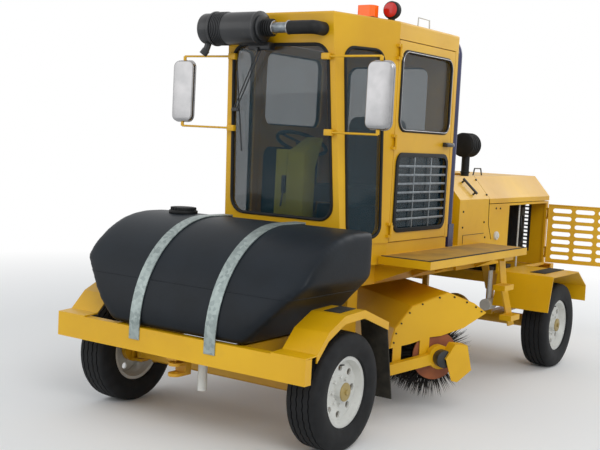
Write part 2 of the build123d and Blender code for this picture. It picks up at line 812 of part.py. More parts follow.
# Doors: one whole leaf each side with an upper window and a barred lower window
# middle height and height of each opening
door_windows = [(2142, 525), (1463, 517)]
door_low = cab_floor_z + panel_gap
door_high = header_z - panel_gap
door_mid_x = (door_front_x + door_rear_x) / 2
door_length = door_front_x - door_rear_x - 2 * panel_gap
window_length = 740
bar_count = 7
grille_thick = 12
grille_lap = 12
grille_inset = 18
bar_height = 16
upright_width = 14
for side, hand in (("left", 1), ("right", -1)):
    leaf_mid = hand * (cab_half_width - cab_wall / 2)
    with BuildPart() as door:
        with Locations((door_mid_x, leaf_mid, (door_low + door_high) / 2)):
            Box(door_length, cab_wall, door_high - door_low)
        with BuildSketch(side_plane(leaf_mid)):
            for z, height in door_windows:
                with Locations((door_mid_x, z)):
                    RectangleRounded(window_length, height, window_corner)
        extrude(amount=cab_wall, both=True, mode=Mode.SUBTRACT)
        with Locations((door_rear_x + 75, leaf_mid + hand * (cab_wall / 2 + 14), 1800)):
            Box(95, 28, 26)
        for z in door_hinges:
            with Locations((door_front_x, hand * door_pin_y, z)):
                Cylinder(barrel_radius, knuckle_length)
            with Locations((door_front_x - 21, hand * (cab_half_width + 6), z)):
                Box(28, 14, knuckle_length)
            with Locations((door_front_x, hand * door_pin_y, z)):
                Cylinder(pin_thick + running, knuckle_length, mode=Mode.SUBTRACT)
    finish(door, f"door_{side}")

    with BuildPart() as door_glass:
        with BuildSketch(side_plane(leaf_mid)):
            for z, height in door_windows:
                with Locations((door_mid_x, z)):
                    RectangleRounded(
                        window_length - 2 * glass_gap, height - 2 * glass_gap, window_corner - glass_gap
                    )
        extrude(amount=glass_thick / 2, both=True)
    finish(door_glass, f"door_glass_{side}")

    grille_z, grille_height = door_windows[1]
    grille_mid = hand * (cab_half_width + grille_thick / 2)
    with BuildPart() as door_grille:
        with BuildSketch(side_plane(grille_mid)):
            with Locations((door_mid_x, grille_z)):
                RectangleRounded(
                    window_length + 2 * grille_lap,
                    grille_height + 2 * grille_lap,
                    window_corner,
                )
                RectangleRounded(
                    window_length - 2 * grille_inset,
                    grille_height - 2 * grille_inset,
                    window_corner - 2 * grille_lap,
                    mode=Mode.SUBTRACT,
                )
            with Locations((door_mid_x, grille_z)):
                with GridLocations(0, (grille_height - 40) / (bar_count + 1), 1, bar_count):
                    Rectangle(window_length - 10, bar_height)
                with GridLocations(window_length / 3, 0, 2, 1):
                    Rectangle(upright_width, grille_height - 10)
        extrude(amount=grille_thick / 2 - seat_gap, both=True)
    finish(door_grille, f"door_grille_{side}")

# Seat and steering console
seat_x = 370
pedestal_length = 360
pedestal_width = 380
pedestal_height = 220
cushion_size = 480
cushion_thick = 120
back_behind = 250
back_mid_height = 560
back_thick = 110
back_width = 460
back_height = 560
back_lean = 8
with BuildPart() as seat:
    with Locations((seat_x, 0, cab_floor_z + pedestal_height / 2)):
        Box(pedestal_length, pedestal_width, pedestal_height)
    with Locations((seat_x, 0, cab_floor_z + pedestal_height + cushion_thick / 2)):
        Box(cushion_size, cushion_size, cushion_thick)
    with Locations(Location((seat_x - back_behind, 0, cab_floor_z + back_mid_height), (0, -back_lean, 0))):
        Box(back_thick, back_width, back_height)
finish(seat, "seat")

console_x = 1000
console_y = 110
console_length = 150
console_width = 260
console_height = 480
column_lean = 25
column_y = -170
column_radius = 24
column_length = 420
wheel_radius = 190
wheel_thick = 26
spoke_length = 356
spoke_width = 30
with BuildPart() as console:
    with Locations((console_x, console_y, cab_floor_z + console_height / 2)):
        Box(console_length, console_width, console_height)
    # arm that carries the column
    with Locations((960, -100, cab_floor_z + 330)):
        Box(60, 220, 60)
    with Locations(Location((900, column_y, cab_floor_z + 440), (0, -column_lean, 0))):
        Cylinder(column_radius, column_length)
    with Locations(Location((811, column_y, cab_floor_z + 630), (0, -column_lean, 0))):
        Cylinder(wheel_radius, wheel_thick)
        Cylinder(wheel_radius - wheel_thick, wheel_thick, mode=Mode.SUBTRACT)
        Box(spoke_length, spoke_width, wheel_thick)
        Box(spoke_width, spoke_length, wheel_thick)
finish(console, "console")

# Roof lamps: an amber beacon and a round red lamp
with BuildPart() as amber_beacon:
    with Locations((925, 380, cab_roof_z + 45 + seat_gap)):
        Box(90, 130, 90)
    fillet(amber_beacon.edges().filter_by(Axis.Z), 30)
finish(amber_beacon, "amber_beacon")

with BuildPart() as red_lamp:
    with Locations((820, 500, cab_roof_z + 20 + seat_gap + 52)):
        Cylinder(58, 60, rotation=(0, 90, 0))
    with Locations((820, 500, cab_roof_z + seat_gap + 10)):
        Box(40, 40, 20)
finish(red_lamp, "red_lamp")

# Mirrors on tube arms from the cab's front corners
mirror_x = 1390
mirror_y = 775
mirror_low = 1868
mirror_high = 2280
mirror_width = 178
arm_radius = 9
# height of each arm and of the stub that holds the head
mirror_arms = [(mirror_low - 30, mirror_low + 30), (mirror_high + 30, mirror_high - 30)]
with BuildPart() as mirrors:
    with Locations((mirror_x, mirror_y, (mirror_low + mirror_high) / 2)):
        Box(36, mirror_width, mirror_high - mirror_low)
    fillet(mirrors.edges().filter_by(Axis.X), 40)
    for arm_z, stub_z in mirror_arms:
        nose_x_here, nose_half_here = cab_half_plan(arm_z + 20)[0]
        root = (nose_x_here + 16, nose_half_here - 50, arm_z)
        tip = (mirror_x, mirror_y, arm_z)
        add(bar(root, tip, arm_radius))
        add(bar((mirror_x, mirror_y, min(arm_z, stub_z)), (mirror_x, mirror_y, max(arm_z, stub_z)), arm_radius))
        with Locations((nose_x_here + seat_gap + 15, nose_half_here - 50, arm_z)):
            Box(30, 60, 40)
    mirror(about=Plane.XZ)
finish(mirrors, "mirrors")

# Air cleaners: the cab's intake canister across its front and the engine's pre-cleaner
canister_x = 1490
canister_z = 2478
canister_radius = 108
hose_radius = 46
dust_cup_radius = 24
pre_cleaner_x = -760
pre_cleaner_y = 360
pre_cleaner_z = 1815
pre_cleaner_radius = 90
pre_cleaner_height = 180
pre_cleaner_neck = 45
neck_top = 1730
# middle along the width, length and radius of the canister, its two bands, its pipe and its hose
canister_row = [
    (-275, 490, canister_radius),
    (-410, 16, canister_radius + 8),
    (-60, 16, canister_radius + 8),
    (115, 300, 38),
    (285, 150, hose_radius),
]
with BuildPart() as air_cleaners:
    for y, length, radius in canister_row:
        with Locations((canister_x, y, canister_z)):
            Cylinder(radius, length, rotation=(90, 0, 0))
    with Locations((canister_x - 70, 330, canister_z)):
        Cylinder(hose_radius, 170, rotation=(0, 90, 0))
    with Locations((canister_x - 90, -250, canister_z)):
        Box(180, 120, 60)
    with Locations((canister_x + 20, -500, canister_z - 110)):
        Cylinder(dust_cup_radius, 110)
    add(cab_outer, mode=Mode.SUBTRACT)
    with Locations((pre_cleaner_x, pre_cleaner_y, (housing_ridge + neck_top) / 2)):
        Cylinder(pre_cleaner_neck, neck_top - housing_ridge)
    with Locations((pre_cleaner_x, pre_cleaner_y, pre_cleaner_z)):
        Cylinder(pre_cleaner_radius, pre_cleaner_height)
finish(air_cleaners, "air_cleaners")

# Rollover hoop behind the cab with flared feet
hoop_foot_length = 80
hoop_foot_width = 58
hoop_foot_height = 170
with BuildPart() as rollover_hoop:
    with BuildLine() as hoop_path:
        FilletPolyline(
            (hoop_x, hoop_y, deck_top + 10),
            (hoop_x, hoop_y, hoop_top - hoop_radius),
            (hoop_x, -hoop_y, hoop_top - hoop_radius),
            (hoop_x, -hoop_y, deck_top + 10),
            radius=hoop_bend,
        )
    with BuildSketch(Plane.XY.offset(deck_top + 10)):
        with Locations((hoop_x, hoop_y)):
            Circle(hoop_radius)
    sweep()
    for y in (hoop_y, -hoop_y):
        with Locations((hoop_x, y, deck_top + seat_gap + hoop_foot_height / 2)):
            Box(hoop_foot_length, hoop_foot_width, hoop_foot_height)
finish(rollover_hoop, "rollover_hoop")

# Engine housing: folded sheet, open below, with a door opening each side
housing_outline = [
    (housing_half_width, housing_low),
    (housing_half_width, housing_side_top),
    (ridge_half_width, housing_ridge),
]


def housing_section(x, inset, low):
    half = [(housing_half_width - inset, low)]
    half.append((housing_half_width - inset, housing_side_top - inset * 0.4))
    half.append((ridge_half_width - inset * 0.4, housing_ridge - inset))
    with BuildSketch(Plane.YZ.offset(x)) as section:
        with BuildLine():
            Polyline(*half, *[(-y, z) for y, z in reversed(half)], close=True)
        make_face()
    return section.sketch


housing_solid = housing_section(housing_rear_x, 0, housing_low)
housing_hollow = housing_section(housing_rear_x + sheet, sheet, housing_low - 10)
grille_half_width = 400
raised_low = 855
raised_length = 800
grille_low = 880
grille_high = 1340
engine_pin_y = housing_half_width + pin_out
engine_hinges = [890, 1236]
lid_hinges = [-250, 250]
lid_pin_x = lid_seam_x - lid_gap / 2
lid_pin_z = housing_ridge + barrel_radius
with BuildPart() as engine_housing:
    extrude(housing_solid, amount=housing_front_x - housing_rear_x)
    extrude(housing_hollow, amount=housing_front_x - housing_rear_x - 2 * sheet, mode=Mode.SUBTRACT)
    with Locations(((lid_seam_x + housing_rear_x) / 2 - 50, 0, lid_low - lid_gap + 200)):
        Box(lid_seam_x - housing_rear_x + 100, 1400, 400, mode=Mode.SUBTRACT)
    with BuildSketch(side_plane(0)):
        with Locations(((bay_front_x + bay_rear_x) / 2, (bay_low + bay_top) / 2)):
            Rectangle(bay_front_x - bay_rear_x, bay_top - bay_low)
    extrude(amount=800, both=True, mode=Mode.SUBTRACT)
    with Locations((housing_rear_x, 0, (grille_low + grille_high) / 2)):
        Box(100, 2 * grille_half_width, grille_high - grille_low, mode=Mode.SUBTRACT)
    with Locations((housing_front_x + raised_length / 2 - raised_length, 0, raised_low - 100)):
        Box(raised_length, 1400, 200, mode=Mode.SUBTRACT)
    with Locations((housing_front_x, 0, rail_top + seat_gap - 150)):
        Box(100, 2 * housing_half_width - 2 * sheet, 300, mode=Mode.SUBTRACT)
    for x in (-380, -860):
        for y in (1, -1):
            pad_width = housing_half_width - sheet - rail_outer
            with Locations((x, y * (housing_half_width - sheet / 2 + rail_outer) / 2, 900)):
                Box(60, pad_width + sheet / 2, 50)
    for y, hand in ((engine_pin_y, 1), (-engine_pin_y, -1)):
        for z in engine_hinges:
            pin_reach = knuckle_length / 2 + 20
            add(bar((bay_rear_x, y, z - pin_reach), (bay_rear_x, y, z + pin_reach), pin_thick))
            for end in (1, -1):
                lug_z = z + end * (knuckle_length / 2 + 11)
                with Locations((bay_rear_x - 8, y - hand * 10, lug_z)):
                    Box(16, 24, 18)
    for y in lid_hinges:
        pin_reach = knuckle_length / 2 + 20
        add(bar((lid_pin_x, y - pin_reach, lid_pin_z), (lid_pin_x, y + pin_reach, lid_pin_z), pin_thick))
        for end in (1, -1):
            with Locations((lid_pin_x + 16, y + end * (knuckle_length / 2 + 11), lid_pin_z - 2)):
                Box(32, 18, 16)
finish(engine_housing, "engine_housing")

# Engine lid over the bay, hinged at its front seam
lid_solid = housing_section(housing_rear_x - 10, 0, lid_low)
lid_hollow = housing_section(housing_rear_x - 10 + sheet, sheet, lid_low - 10)
with BuildPart() as engine_lid:
    extrude(lid_solid, amount=lid_seam_x - lid_gap - housing_rear_x + 10)
    extrude(lid_hollow, amount=lid_seam_x - housing_rear_x + 10, mode=Mode.SUBTRACT)
    with Locations((lid_seam_x - 260, 0, housing_ridge + 20)):
        Box(24, 190, 60)
        Box(40, 150, 40, mode=Mode.SUBTRACT)
    for y in lid_hinges:
        with Locations(Location((lid_pin_x, y, lid_pin_z), (90, 0, 0))):
            Cylinder(barrel_radius, knuckle_length)
        with Locations((lid_pin_x - 17, y, lid_pin_z - 5)):
            Box(26, knuckle_length, 12)
        with Locations(Location((lid_pin_x, y, lid_pin_z), (90, 0, 0))):
            Cylinder(pin_thick + running, knuckle_length, mode=Mode.SUBTRACT)
finish(engine_lid, "engine_lid")

# Engine: one plain block on the frame
with BuildPart() as engine_block:
    with Locations((-1330, 0, 1035)):
        Box(700, 480, 490)
    for x in (-1600, -1250):
        with Locations((x, 0, 760)):
            Box(90, 2 * rail_inner - 2 * seat_gap, 70)
finish(engine_block, "engine_block")

# Radiator grille: louvres in a frame at the housing's rear
louvre_count = 11
with BuildPart() as radiator_grille:
    grille_mid_z = (grille_low + grille_high) / 2
    grille_height_all = grille_high - grille_low - 2 * glass_gap
    with Locations((housing_rear_x + sheet / 2, 0, grille_mid_z)):
        Box(sheet, 2 * grille_half_width - 2 * glass_gap, grille_height_all)
        Box(sheet, 2 * grille_half_width - 50, grille_height_all - 50, mode=Mode.SUBTRACT)
        with GridLocations(0, 0, 1, 1):
            Box(10, 12, grille_height_all)
    louvre_pitch = (grille_height_all - 50) / (louvre_count + 1)
    for index in range(louvre_count):
        z = grille_low + 25 + louvre_pitch * (index + 1)
        with Locations(Location((housing_rear_x + sheet / 2, 0, z), (0, 35, 0))):
            Box(20, 2 * grille_half_width - 40, 4)
finish(radiator_grille, "radiator_grille")

# Slotted engine doors, swung out on their rear edges
door_span = bay_front_x - bay_rear_x - 2 * lid_gap
slot_columns = 4
slot_rows = 7
slot_pitch_x = 196
slot_pitch_z = 62
slot_length = 150
slot_height = 30
door_height = bay_top - bay_low - 2 * lid_gap
for side, hand in (("left", 1), ("right", -1)):
    turn = radians(engine_door_open)
    run = Vector(cos(turn), hand * sin(turn), 0)
    inward = Vector(sin(turn), -hand * cos(turn), 0)
    pin = Vector(bay_rear_x, hand * engine_pin_y, 0)
    door_root = pin + inward * (pin_out + sheet / 2)
    door_plane = Plane(origin=door_root, x_dir=run, z_dir=run.cross(Vector(0, 0, 1)))
    with BuildPart() as engine_door:
        with BuildSketch(door_plane):
            with Locations((door_span / 2 + lid_gap, (bay_low + bay_top) / 2)):
                Rectangle(door_span, door_height)
                with GridLocations(slot_pitch_x, slot_pitch_z, slot_columns, slot_rows):
                    SlotOverall(slot_length, slot_height, mode=Mode.SUBTRACT)
        extrude(amount=sheet / 4, both=True)
        with BuildSketch(door_plane):
            with Locations((door_span / 2 + lid_gap, (bay_low + bay_top) / 2)):
                Rectangle(door_span, door_height)
                Rectangle(door_span - 16, door_height - 16, mode=Mode.SUBTRACT)
        extrude(amount=sheet / 2, both=True)
        for z in engine_hinges:
            with Locations((pin.X, pin.Y, z)):
                Cylinder(barrel_radius, knuckle_length)
            leaf_centre = pin + run * 19 + inward * (pin_out / 2) + Vector(0, 0, z)
            with Locations(Plane(origin=leaf_centre, x_dir=run, z_dir=Vector(0, 0, 1))):
                Box(26, pin_out + 4, knuckle_length)
            with Locations((pin.X, pin.Y, z)):
                Cylinder(pin_thick + running, knuckle_length, mode=Mode.SUBTRACT)
    finish(engine_door, f"engine_door_{side}")

# Rear fenders
# x and height of each bend, from the front rearwards
rear_fender_bends = [(-1025, 516), (-1100, 789), (-1680, 789), (-1891, 656), (-1896, 528)]
with BuildPart() as rear_fenders:
    fender_in = housing_half_width + seat_gap
    with BuildSketch(side_plane(rear_fender_half)) as bend_line:
        with BuildLine():
            Polyline(*rear_fender_bends)
            offset(amount=fender_plate / 2, side=Side.BOTH, kind=Kind.INTERSECTION)
        make_face()
    extrude(amount=rear_fender_half - fender_in)
    mirror(about=Plane.XZ)
finish(rear_fenders, "rear_fenders")

# Rear bumper and tail lamps
bumper_low = 640
bumper_high = 780
bumper_half = 600
with BuildPart() as rear_bumper:
    with Locations((rear_x + bumper_depth / 2, 0, (bumper_low + bumper_high) / 2)):
        Box(bumper_depth, 2 * bumper_half, bumper_high - bumper_low)
    with Locations((rear_x + bumper_depth / 2 + 10, 0, (bumper_low + bumper_high) / 2)):
        Box(bumper_depth, 2 * bumper_half - 20, bumper_high - bumper_low - 20, mode=Mode.SUBTRACT)
finish(rear_bumper, "rear_bumper")

with BuildPart() as tail_lamps:
    for y in (860, -860):
        with Locations((-1896 - 4 - 20, y, 590)):
            Cylinder(52, 40, rotation=(0, 90, 0))
finish(tail_lamps, "tail_lamps")

# Filters: the hydraulic canister under the left rail and the water strainer under the beam
filter_y = 492
filter_z = 510
with BuildPart() as filters:
    with Locations((-1075, filter_y, filter_z)):
        Cylinder(47, 140, rotation=(0, 90, 0))
    with Locations((-1075, rail_outer + seat_gap + 6, filter_z + 140)):
        Box(60, 12, 280)
    with Locations((2160, 130, 380)):
        Cylinder(28, 190)
finish(filters, "filters")

# Swing frame: kingpin, overhead beam, drop post and cross tube
cross_half = arm_inner - 8
with BuildPart() as swing_frame:
    with Locations((pivot_x, 0, (swing_beam_top + rail_top) / 2)):
        Cylinder(kingpin_radius, rail_top - swing_beam_top)
    with Locations((pivot_x, 0, (swing_beam_top + pivot_block_low - running) / 2)):
        Cylinder(kingpin_radius + 50, pivot_block_low - running - swing_beam_top)
    with BuildSketch(broom_plane(swing_beam_width / 2)):
        with BuildLine():
            Polyline(
                (-90, swing_beam_low),
                (-90, swing_beam_top),
                (arm_pivot_ahead + 40, swing_beam_top),
                (arm_pivot_ahead + 40, arm_pivot_z),
                (arm_pivot_ahead - 40, arm_pivot_z),
                (arm_pivot_ahead - 40, swing_beam_low),
                close=True,
            )
        make_face()
    extrude(amount=swing_beam_width)
    with BuildSketch(broom_plane(cross_half)):
        with Locations((arm_pivot_ahead, arm_pivot_z)):
            Circle(cross_tube_radius)
    extrude(amount=2 * cross_half)
    with BuildSketch(broom_plane(arm_inner + arm_thick + 10)):
        with Locations((arm_pivot_ahead, arm_pivot_z)):
            Circle(pin_radius)
    extrude(amount=2 * (arm_inner + arm_thick + 10))
finish(swing_frame, "swing_frame")

# Broom arms: a pair of lift arms with the drive motor guards at the reel's ends
# ahead and height of the guard's corners
guard_corners = [(4, 403), (-60, 500), (-151, 491), (-190, 324), (-88, 246), (-46, 256)]
arm_outer = arm_inner + arm_thick
with BuildPart() as broom_arms:
    for end in (1, -1):
        outer_plane = broom_plane(arm_outer) if end > 0 else broom_plane(-arm_inner)
        with BuildSketch(outer_plane):
            with BuildLine():
                Line((arm_pivot_ahead, arm_pivot_z), (0, reel_z))
                offset(amount=arm_height / 2, side=Side.BOTH)
            make_face()
            with Locations((0, reel_z)):
                Circle(80)
                Circle(stub_radius + running, mode=Mode.SUBTRACT)
            with Locations((arm_pivot_ahead, arm_pivot_z)):
                Circle(52)
                Circle(pin_radius + running, mode=Mode.SUBTRACT)
        extrude(amount=arm_thick)
        guard_start = arm_outer + guard_reach if end > 0 else -arm_outer - guard_reach + guard_plate
        with BuildSketch(broom_plane(guard_start)):
            with BuildLine():
                Polyline(*guard_corners, close=True)
            make_face()
        extrude(amount=guard_plate)
        flange_start = arm_outer + guard_reach - 1 if end > 0 else -arm_outer
        with BuildSketch(broom_plane(flange_start)):
            with BuildLine():
                Polyline(guard_corners[0], guard_corners[1], guard_corners[2], (-151, 483), (-58, 490), (0, 396), close=True)
            make_face()
        extrude(amount=guard_reach - 1)
        motor_start = arm_outer + 70 if end > 0 else -arm_outer
        with BuildSketch(broom_plane(motor_start)):
            with Locations((0, reel_z)):
                Circle(55)
        extrude(amount=70)
finish(broom_arms, "broom_arms")

# Broom hood: bent sheet over the reel with end plates lugged to the arms
# ahead and height of each bend of the hood, from the front lip to the rear tip
hood_bends = [(341, 452), (313, 581), (195, 728), (-66, 818), (-270, 742), (-365, 679)]
# lower edge of the end plate, from the rear tip forwards
hood_lower = [(-198, 579), (-27, 528), (60, 520), (200, 478)]
with BuildPart() as broom_hood:
    with BuildSketch(broom_plane(hood_end)):
        with BuildLine():
            Polyline(*hood_bends)
            offset(amount=hood_plate / 2, side=Side.BOTH, kind=Kind.INTERSECTION)
        make_face()
    extrude(amount=2 * hood_end)
    for end in (1, -1):
        plate_start = hood_end + hood_plate if end > 0 else -hood_end
        with BuildSketch(broom_plane(plate_start)):
            with BuildLine():
                Polyline(*hood_bends, *hood_lower, close=True)
            make_face()
        extrude(amount=hood_plate)
        with BuildSketch(broom_plane(plate_start)):
            with Locations((90, 460)):
                Rectangle(70, 180)
            with Locations((290, 400)):
                Rectangle(60, 180)
        extrude(amount=hood_plate)
        pad_start = arm_inner if end > 0 else -hood_end - hood_plate
        with BuildSketch(broom_plane(pad_start)):
            with Locations((90, 380), (290, 336)):
                Circle(18)
        extrude(amount=arm_inner - hood_end - hood_plate)
finish(broom_hood, "broom_hood")

# Broom reel: core with stub shafts and a ring of worn bristle tufts
tuft_count = 36
tuft_depth = 26
with BuildPart() as broom_reel:
    with BuildSketch(broom_plane(reel_length / 2)):
        with BuildLine():
            points = []
            for index in range(2 * tuft_count):
                turn = radians(index * 180 / tuft_count)
                reach = reel_radius - (tuft_depth if index % 2 else 0)
                points.append((reach * cos(turn), reel_z + reach * sin(turn)))
            Polyline(*points, close=True)
        make_face()
    extrude(amount=reel_length)
    with BuildSketch(broom_plane(hood_end - 6)):
        with Locations((0, reel_z)):
            Circle(core_radius)
    extrude(amount=2 * (hood_end - 6))
    with BuildSketch(broom_plane(arm_outer)):
        with Locations((0, reel_z)):
            Circle(stub_radius)
    extrude(amount=2 * arm_outer)
finish(broom_reel, "broom_reel")
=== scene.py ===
import math
import random

import bpy
from mathutils import Matrix, Vector


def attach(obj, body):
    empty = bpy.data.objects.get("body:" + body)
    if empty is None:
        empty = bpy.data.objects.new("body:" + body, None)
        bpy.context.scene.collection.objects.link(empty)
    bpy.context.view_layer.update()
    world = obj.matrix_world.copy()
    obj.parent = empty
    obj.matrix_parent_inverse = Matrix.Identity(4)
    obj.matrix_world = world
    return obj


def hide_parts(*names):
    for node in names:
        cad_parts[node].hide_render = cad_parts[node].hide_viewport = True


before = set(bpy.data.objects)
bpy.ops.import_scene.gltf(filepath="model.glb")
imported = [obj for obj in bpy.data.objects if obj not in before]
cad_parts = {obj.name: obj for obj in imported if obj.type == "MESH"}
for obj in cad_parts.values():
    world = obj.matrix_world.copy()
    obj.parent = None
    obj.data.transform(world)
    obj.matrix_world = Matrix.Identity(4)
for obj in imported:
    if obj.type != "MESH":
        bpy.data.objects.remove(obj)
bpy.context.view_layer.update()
random.seed(7)

scene = bpy.context.scene
scene.view_settings.view_transform = "Standard"
mm = 0.001


# small helpers

def linearColour(hexText):
    # sRGB hex to the linear colour that the shaders use
    parts = [int(hexText[i:i + 2], 16) / 255 for i in (1, 3, 5)]
    values = [c / 12.92 if c <= 0.04045 else ((c + 0.055) / 1.055) ** 2.4 for c in parts]
    return (*values, 1.0)


def addNode(tree, kind, links=None, **settings):
    # settings whose name is a socket set that socket, the others set the node
    node = tree.nodes.new(kind)
    for key, value in settings.items():
        if hasattr(node, key):
            setattr(node, key, value)
        else:
            node.inputs[key.replace("_", " ")].default_value = value
    for key, socket in (links or {}).items():
        tree.links.new(socket, node.inputs[key])
    return node


def newMaterial(name):
    material = bpy.data.materials.new(name)
    material.use_nodes = True
    tree = material.node_tree
    tree.nodes.clear()
    output = tree.nodes.new("ShaderNodeOutputMaterial")
    shader = tree.nodes.new("ShaderNodeBsdfPrincipled")
    tree.links.new(shader.outputs["BSDF"], output.inputs["Surface"])
    coords = tree.nodes.new("ShaderNodeTexCoord")
    return material, tree, shader, coords.outputs["Object"]


def perMetre(sizeMm):
    # a noise or wave scale whose features are about this many millimetres
    return 1000.0 / sizeMm


def colourRamp(tree, factor, stops):
    ramp = addNode(tree, "ShaderNodeValToRGB", {"Fac": factor})
    elements = ramp.color_ramp.elements
    for index, (place, colour) in enumerate(stops):
        element = elements[index] if index < 2 else elements.new(place)
        element.position = place
        element.color = linearColour(colour)
    return ramp.outputs["Color"]


def noiseTone(tree, coords, sizeMm, detail, stops, **settings):
    # a tone that drifts between two colours
    noise = addNode(tree, "ShaderNodeTexNoise", {"Vector": coords}, Scale=perMetre(sizeMm), Detail=detail,
                    **settings)
    return colourRamp(tree, noise.outputs["Fac"], stops)


def relief(tree, shader, height, strength, distance):
    bump = addNode(tree, "ShaderNodeBump", {"Height": height}, Strength=strength, Distance=distance)
    tree.links.new(bump.outputs["Normal"], shader.inputs["Normal"])


def peelRelief(tree, shader, coords, sizeMm, detail, strength, distance):
    peel = addNode(tree, "ShaderNodeTexNoise", {"Vector": coords}, Scale=perMetre(sizeMm), Detail=detail)
    relief(tree, shader, peel.outputs["Fac"], strength, distance)


def setInputs(shader, values):
    for key, value in values.items():
        shader.inputs[key].default_value = value


def tonedMaterial(name, sizeMm, detail, stops, values, grain=None):
    # one drifting tone, plain shader values and, where given, a fine relief
    material, tree, shader, coords = newMaterial(name)
    tree.links.new(noiseTone(tree, coords, sizeMm, detail, stops), shader.inputs["Base Color"])
    setInputs(shader, values)
    if grain:
        peelRelief(tree, shader, coords, *grain)
    return material


# materials

def paintedSteel(name, settings):
    # sprayed enamel on folded steel: a soft gloss, slight tone drift, dust in patches
    material, tree, shader, coords = newMaterial(name)
    tones = [(0.3, settings["dark"]), (0.7, settings["light"])]
    tone = noiseTone(tree, coords, settings["driftMm"], 4.0, tones)
    dust = addNode(tree, "ShaderNodeTexNoise", {"Vector": coords}, Scale=perMetre(settings["dustMm"]),
                   Detail=8.0, Roughness=0.7)
    dustMask = addNode(tree, "ShaderNodeMapRange", {"Value": dust.outputs["Fac"]})
    setInputs(dustMask, {"From Min": 0.56, "From Max": 0.8, "To Max": settings["dustAmount"]})
    mixed = addNode(tree, "ShaderNodeMixRGB", {"Fac": dustMask.outputs["Result"], "Color1": tone})
    mixed.inputs["Color2"].default_value = linearColour(settings["dustColour"])
    tree.links.new(mixed.outputs["Color"], shader.inputs["Base Color"])
    rough = addNode(tree, "ShaderNodeMapRange", {"Value": dust.outputs["Fac"]})
    setInputs(rough, {"To Min": settings["roughness"] - 0.06, "To Max": settings["roughness"] + 0.14})
    tree.links.new(rough.outputs["Result"], shader.inputs["Roughness"])
    peelRelief(tree, shader, coords, 9, 2.0, 0.04, 0.002)
    setInputs(shader, {"Coat Weight": settings["coat"], "Coat Roughness": 0.12})
    return material


def mouldedPolyethylene(name):
    # rotomoulded black polyethylene: a dull skin with a fine orange peel, its upward faces lightened as a
    # painted highlight
    material, tree, shader, coords = newMaterial(name)
    tone = noiseTone(tree, coords, 260, 5.0, [(0.3, "#0A0F14"), (0.72, "#131A21")], Roughness=0.6)
    # the upward faces get a lighter blue-black: a painted highlight of the sky on the tank's top
    normal = tree.nodes.new("ShaderNodeNewGeometry").outputs["Normal"]
    split = addNode(tree, "ShaderNodeSeparateXYZ", {"Vector": normal})
    upward = addNode(tree, "ShaderNodeMapRange", {"Value": split.outputs["Z"]})
    setInputs(upward, {"From Min": 0.2, "To Max": 0.3})
    paintedTopSheen = addNode(tree, "ShaderNodeMixRGB", {"Fac": upward.outputs["Result"], "Color1": tone})
    paintedTopSheen.inputs["Color2"].default_value = linearColour("#1F2A34")
    tree.links.new(paintedTopSheen.outputs["Color"], shader.inputs["Base Color"])
    setInputs(shader, {"Roughness": 0.46, "Specular IOR Level": 0.2})
    peelRelief(tree, shader, coords, 14, 3.0, 0.18, 0.003)
    return material


def galvanisedSteel(name):
    # hot-dip zinc: pale grey spangle, half dull
    material, tree, shader, coords = newMaterial(name)
    spangle = addNode(tree, "ShaderNodeTexVoronoi", {"Vector": coords}, Scale=perMetre(22))
    tone = colourRamp(tree, spangle.outputs["Color"], [(0.2, "#86918F"), (0.8, "#A2ADAA")])
    tree.links.new(tone, shader.inputs["Base Color"])
    setInputs(shader, {"Metallic": 0.55, "Roughness": 0.45})
    return material


def barAluminium(name):
    # extruded aluminium bars with a fine mottle
    stops = [(0.3, "#6E7478"), (0.7, "#8F9599")]
    return tonedMaterial(name, 30, 6.0, stops, {"Metallic": 0.9, "Roughness": 0.36})


def blackRubber(name, hexDark, hexLight, roughness, grainMm):
    # vulcanised rubber: nearly matt, faint grey bloom
    values = {"Roughness": roughness, "Specular IOR Level": 0.3}
    stops = [(0.35, hexDark), (0.75, hexLight)]
    return tonedMaterial(name, 60, 6.0, stops, values, (grainMm, 2.0, 0.2, 0.001))


def windowGlass(name):
    # glass tinted dark blue-green, partly see-through
    stops = [(0.3, "#16303A"), (0.75, "#223D47")]
    return tonedMaterial(name, 180, 5.0, stops, {"Roughness": 0.03, "Alpha": 0.42, "IOR": 1.5})


def lampLens(name, hexText):
    # moulded acrylic lens: glossy, ribbed with prisms, glowing faintly
    material, tree, shader, coords = newMaterial(name)
    prisms = addNode(tree, "ShaderNodeTexWave", {"Vector": coords}, Scale=perMetre(14) / 6.283,
                     Distortion=0.0)
    relief(tree, shader, prisms.outputs["Fac"], 0.3, 0.001)
    tone = linearColour(hexText)
    setInputs(shader, {"Base Color": tone, "Roughness": 0.15, "Emission Color": tone,
                       "Emission Strength": 0.15})
    return material


def mirrorGlass(name, dark, light, roughness):
    # silvered glass, or chrome rubbed dull by washing
    values = {"Metallic": 1.0, "Roughness": roughness}
    return tonedMaterial(name, 90, 3.0, [(0.3, dark), (0.7, light)], values)


cabYellow = paintedSteel("yellow enamel", {
    "dark": "#CF9A00", "light": "#E3B000", "driftMm": 700, "dustMm": 160, "dustAmount": 0.2,
    "dustColour": "#A98440", "roughness": 0.4, "coat": 0.06})
frameYellow = paintedSteel("yellow frame enamel", {
    "dark": "#BE8A04", "light": "#D6A20A", "driftMm": 400, "dustMm": 90, "dustAmount": 0.5,
    "dustColour": "#7F6D4C", "roughness": 0.44, "coat": 0.15})
consoleGreen = paintedSteel("console enamel", {
    "dark": "#D3CE38", "light": "#E2DC46", "driftMm": 300, "dustMm": 80, "dustAmount": 0.2,
    "dustColour": "#8E8B4C", "roughness": 0.5, "coat": 0.1})
whiteEnamel = paintedSteel("white wheel enamel", {
    "dark": "#C4C4BE", "light": "#D6D6D0", "driftMm": 200, "dustMm": 40, "dustAmount": 0.5,
    "dustColour": "#9B958A", "roughness": 0.4, "coat": 0.2})
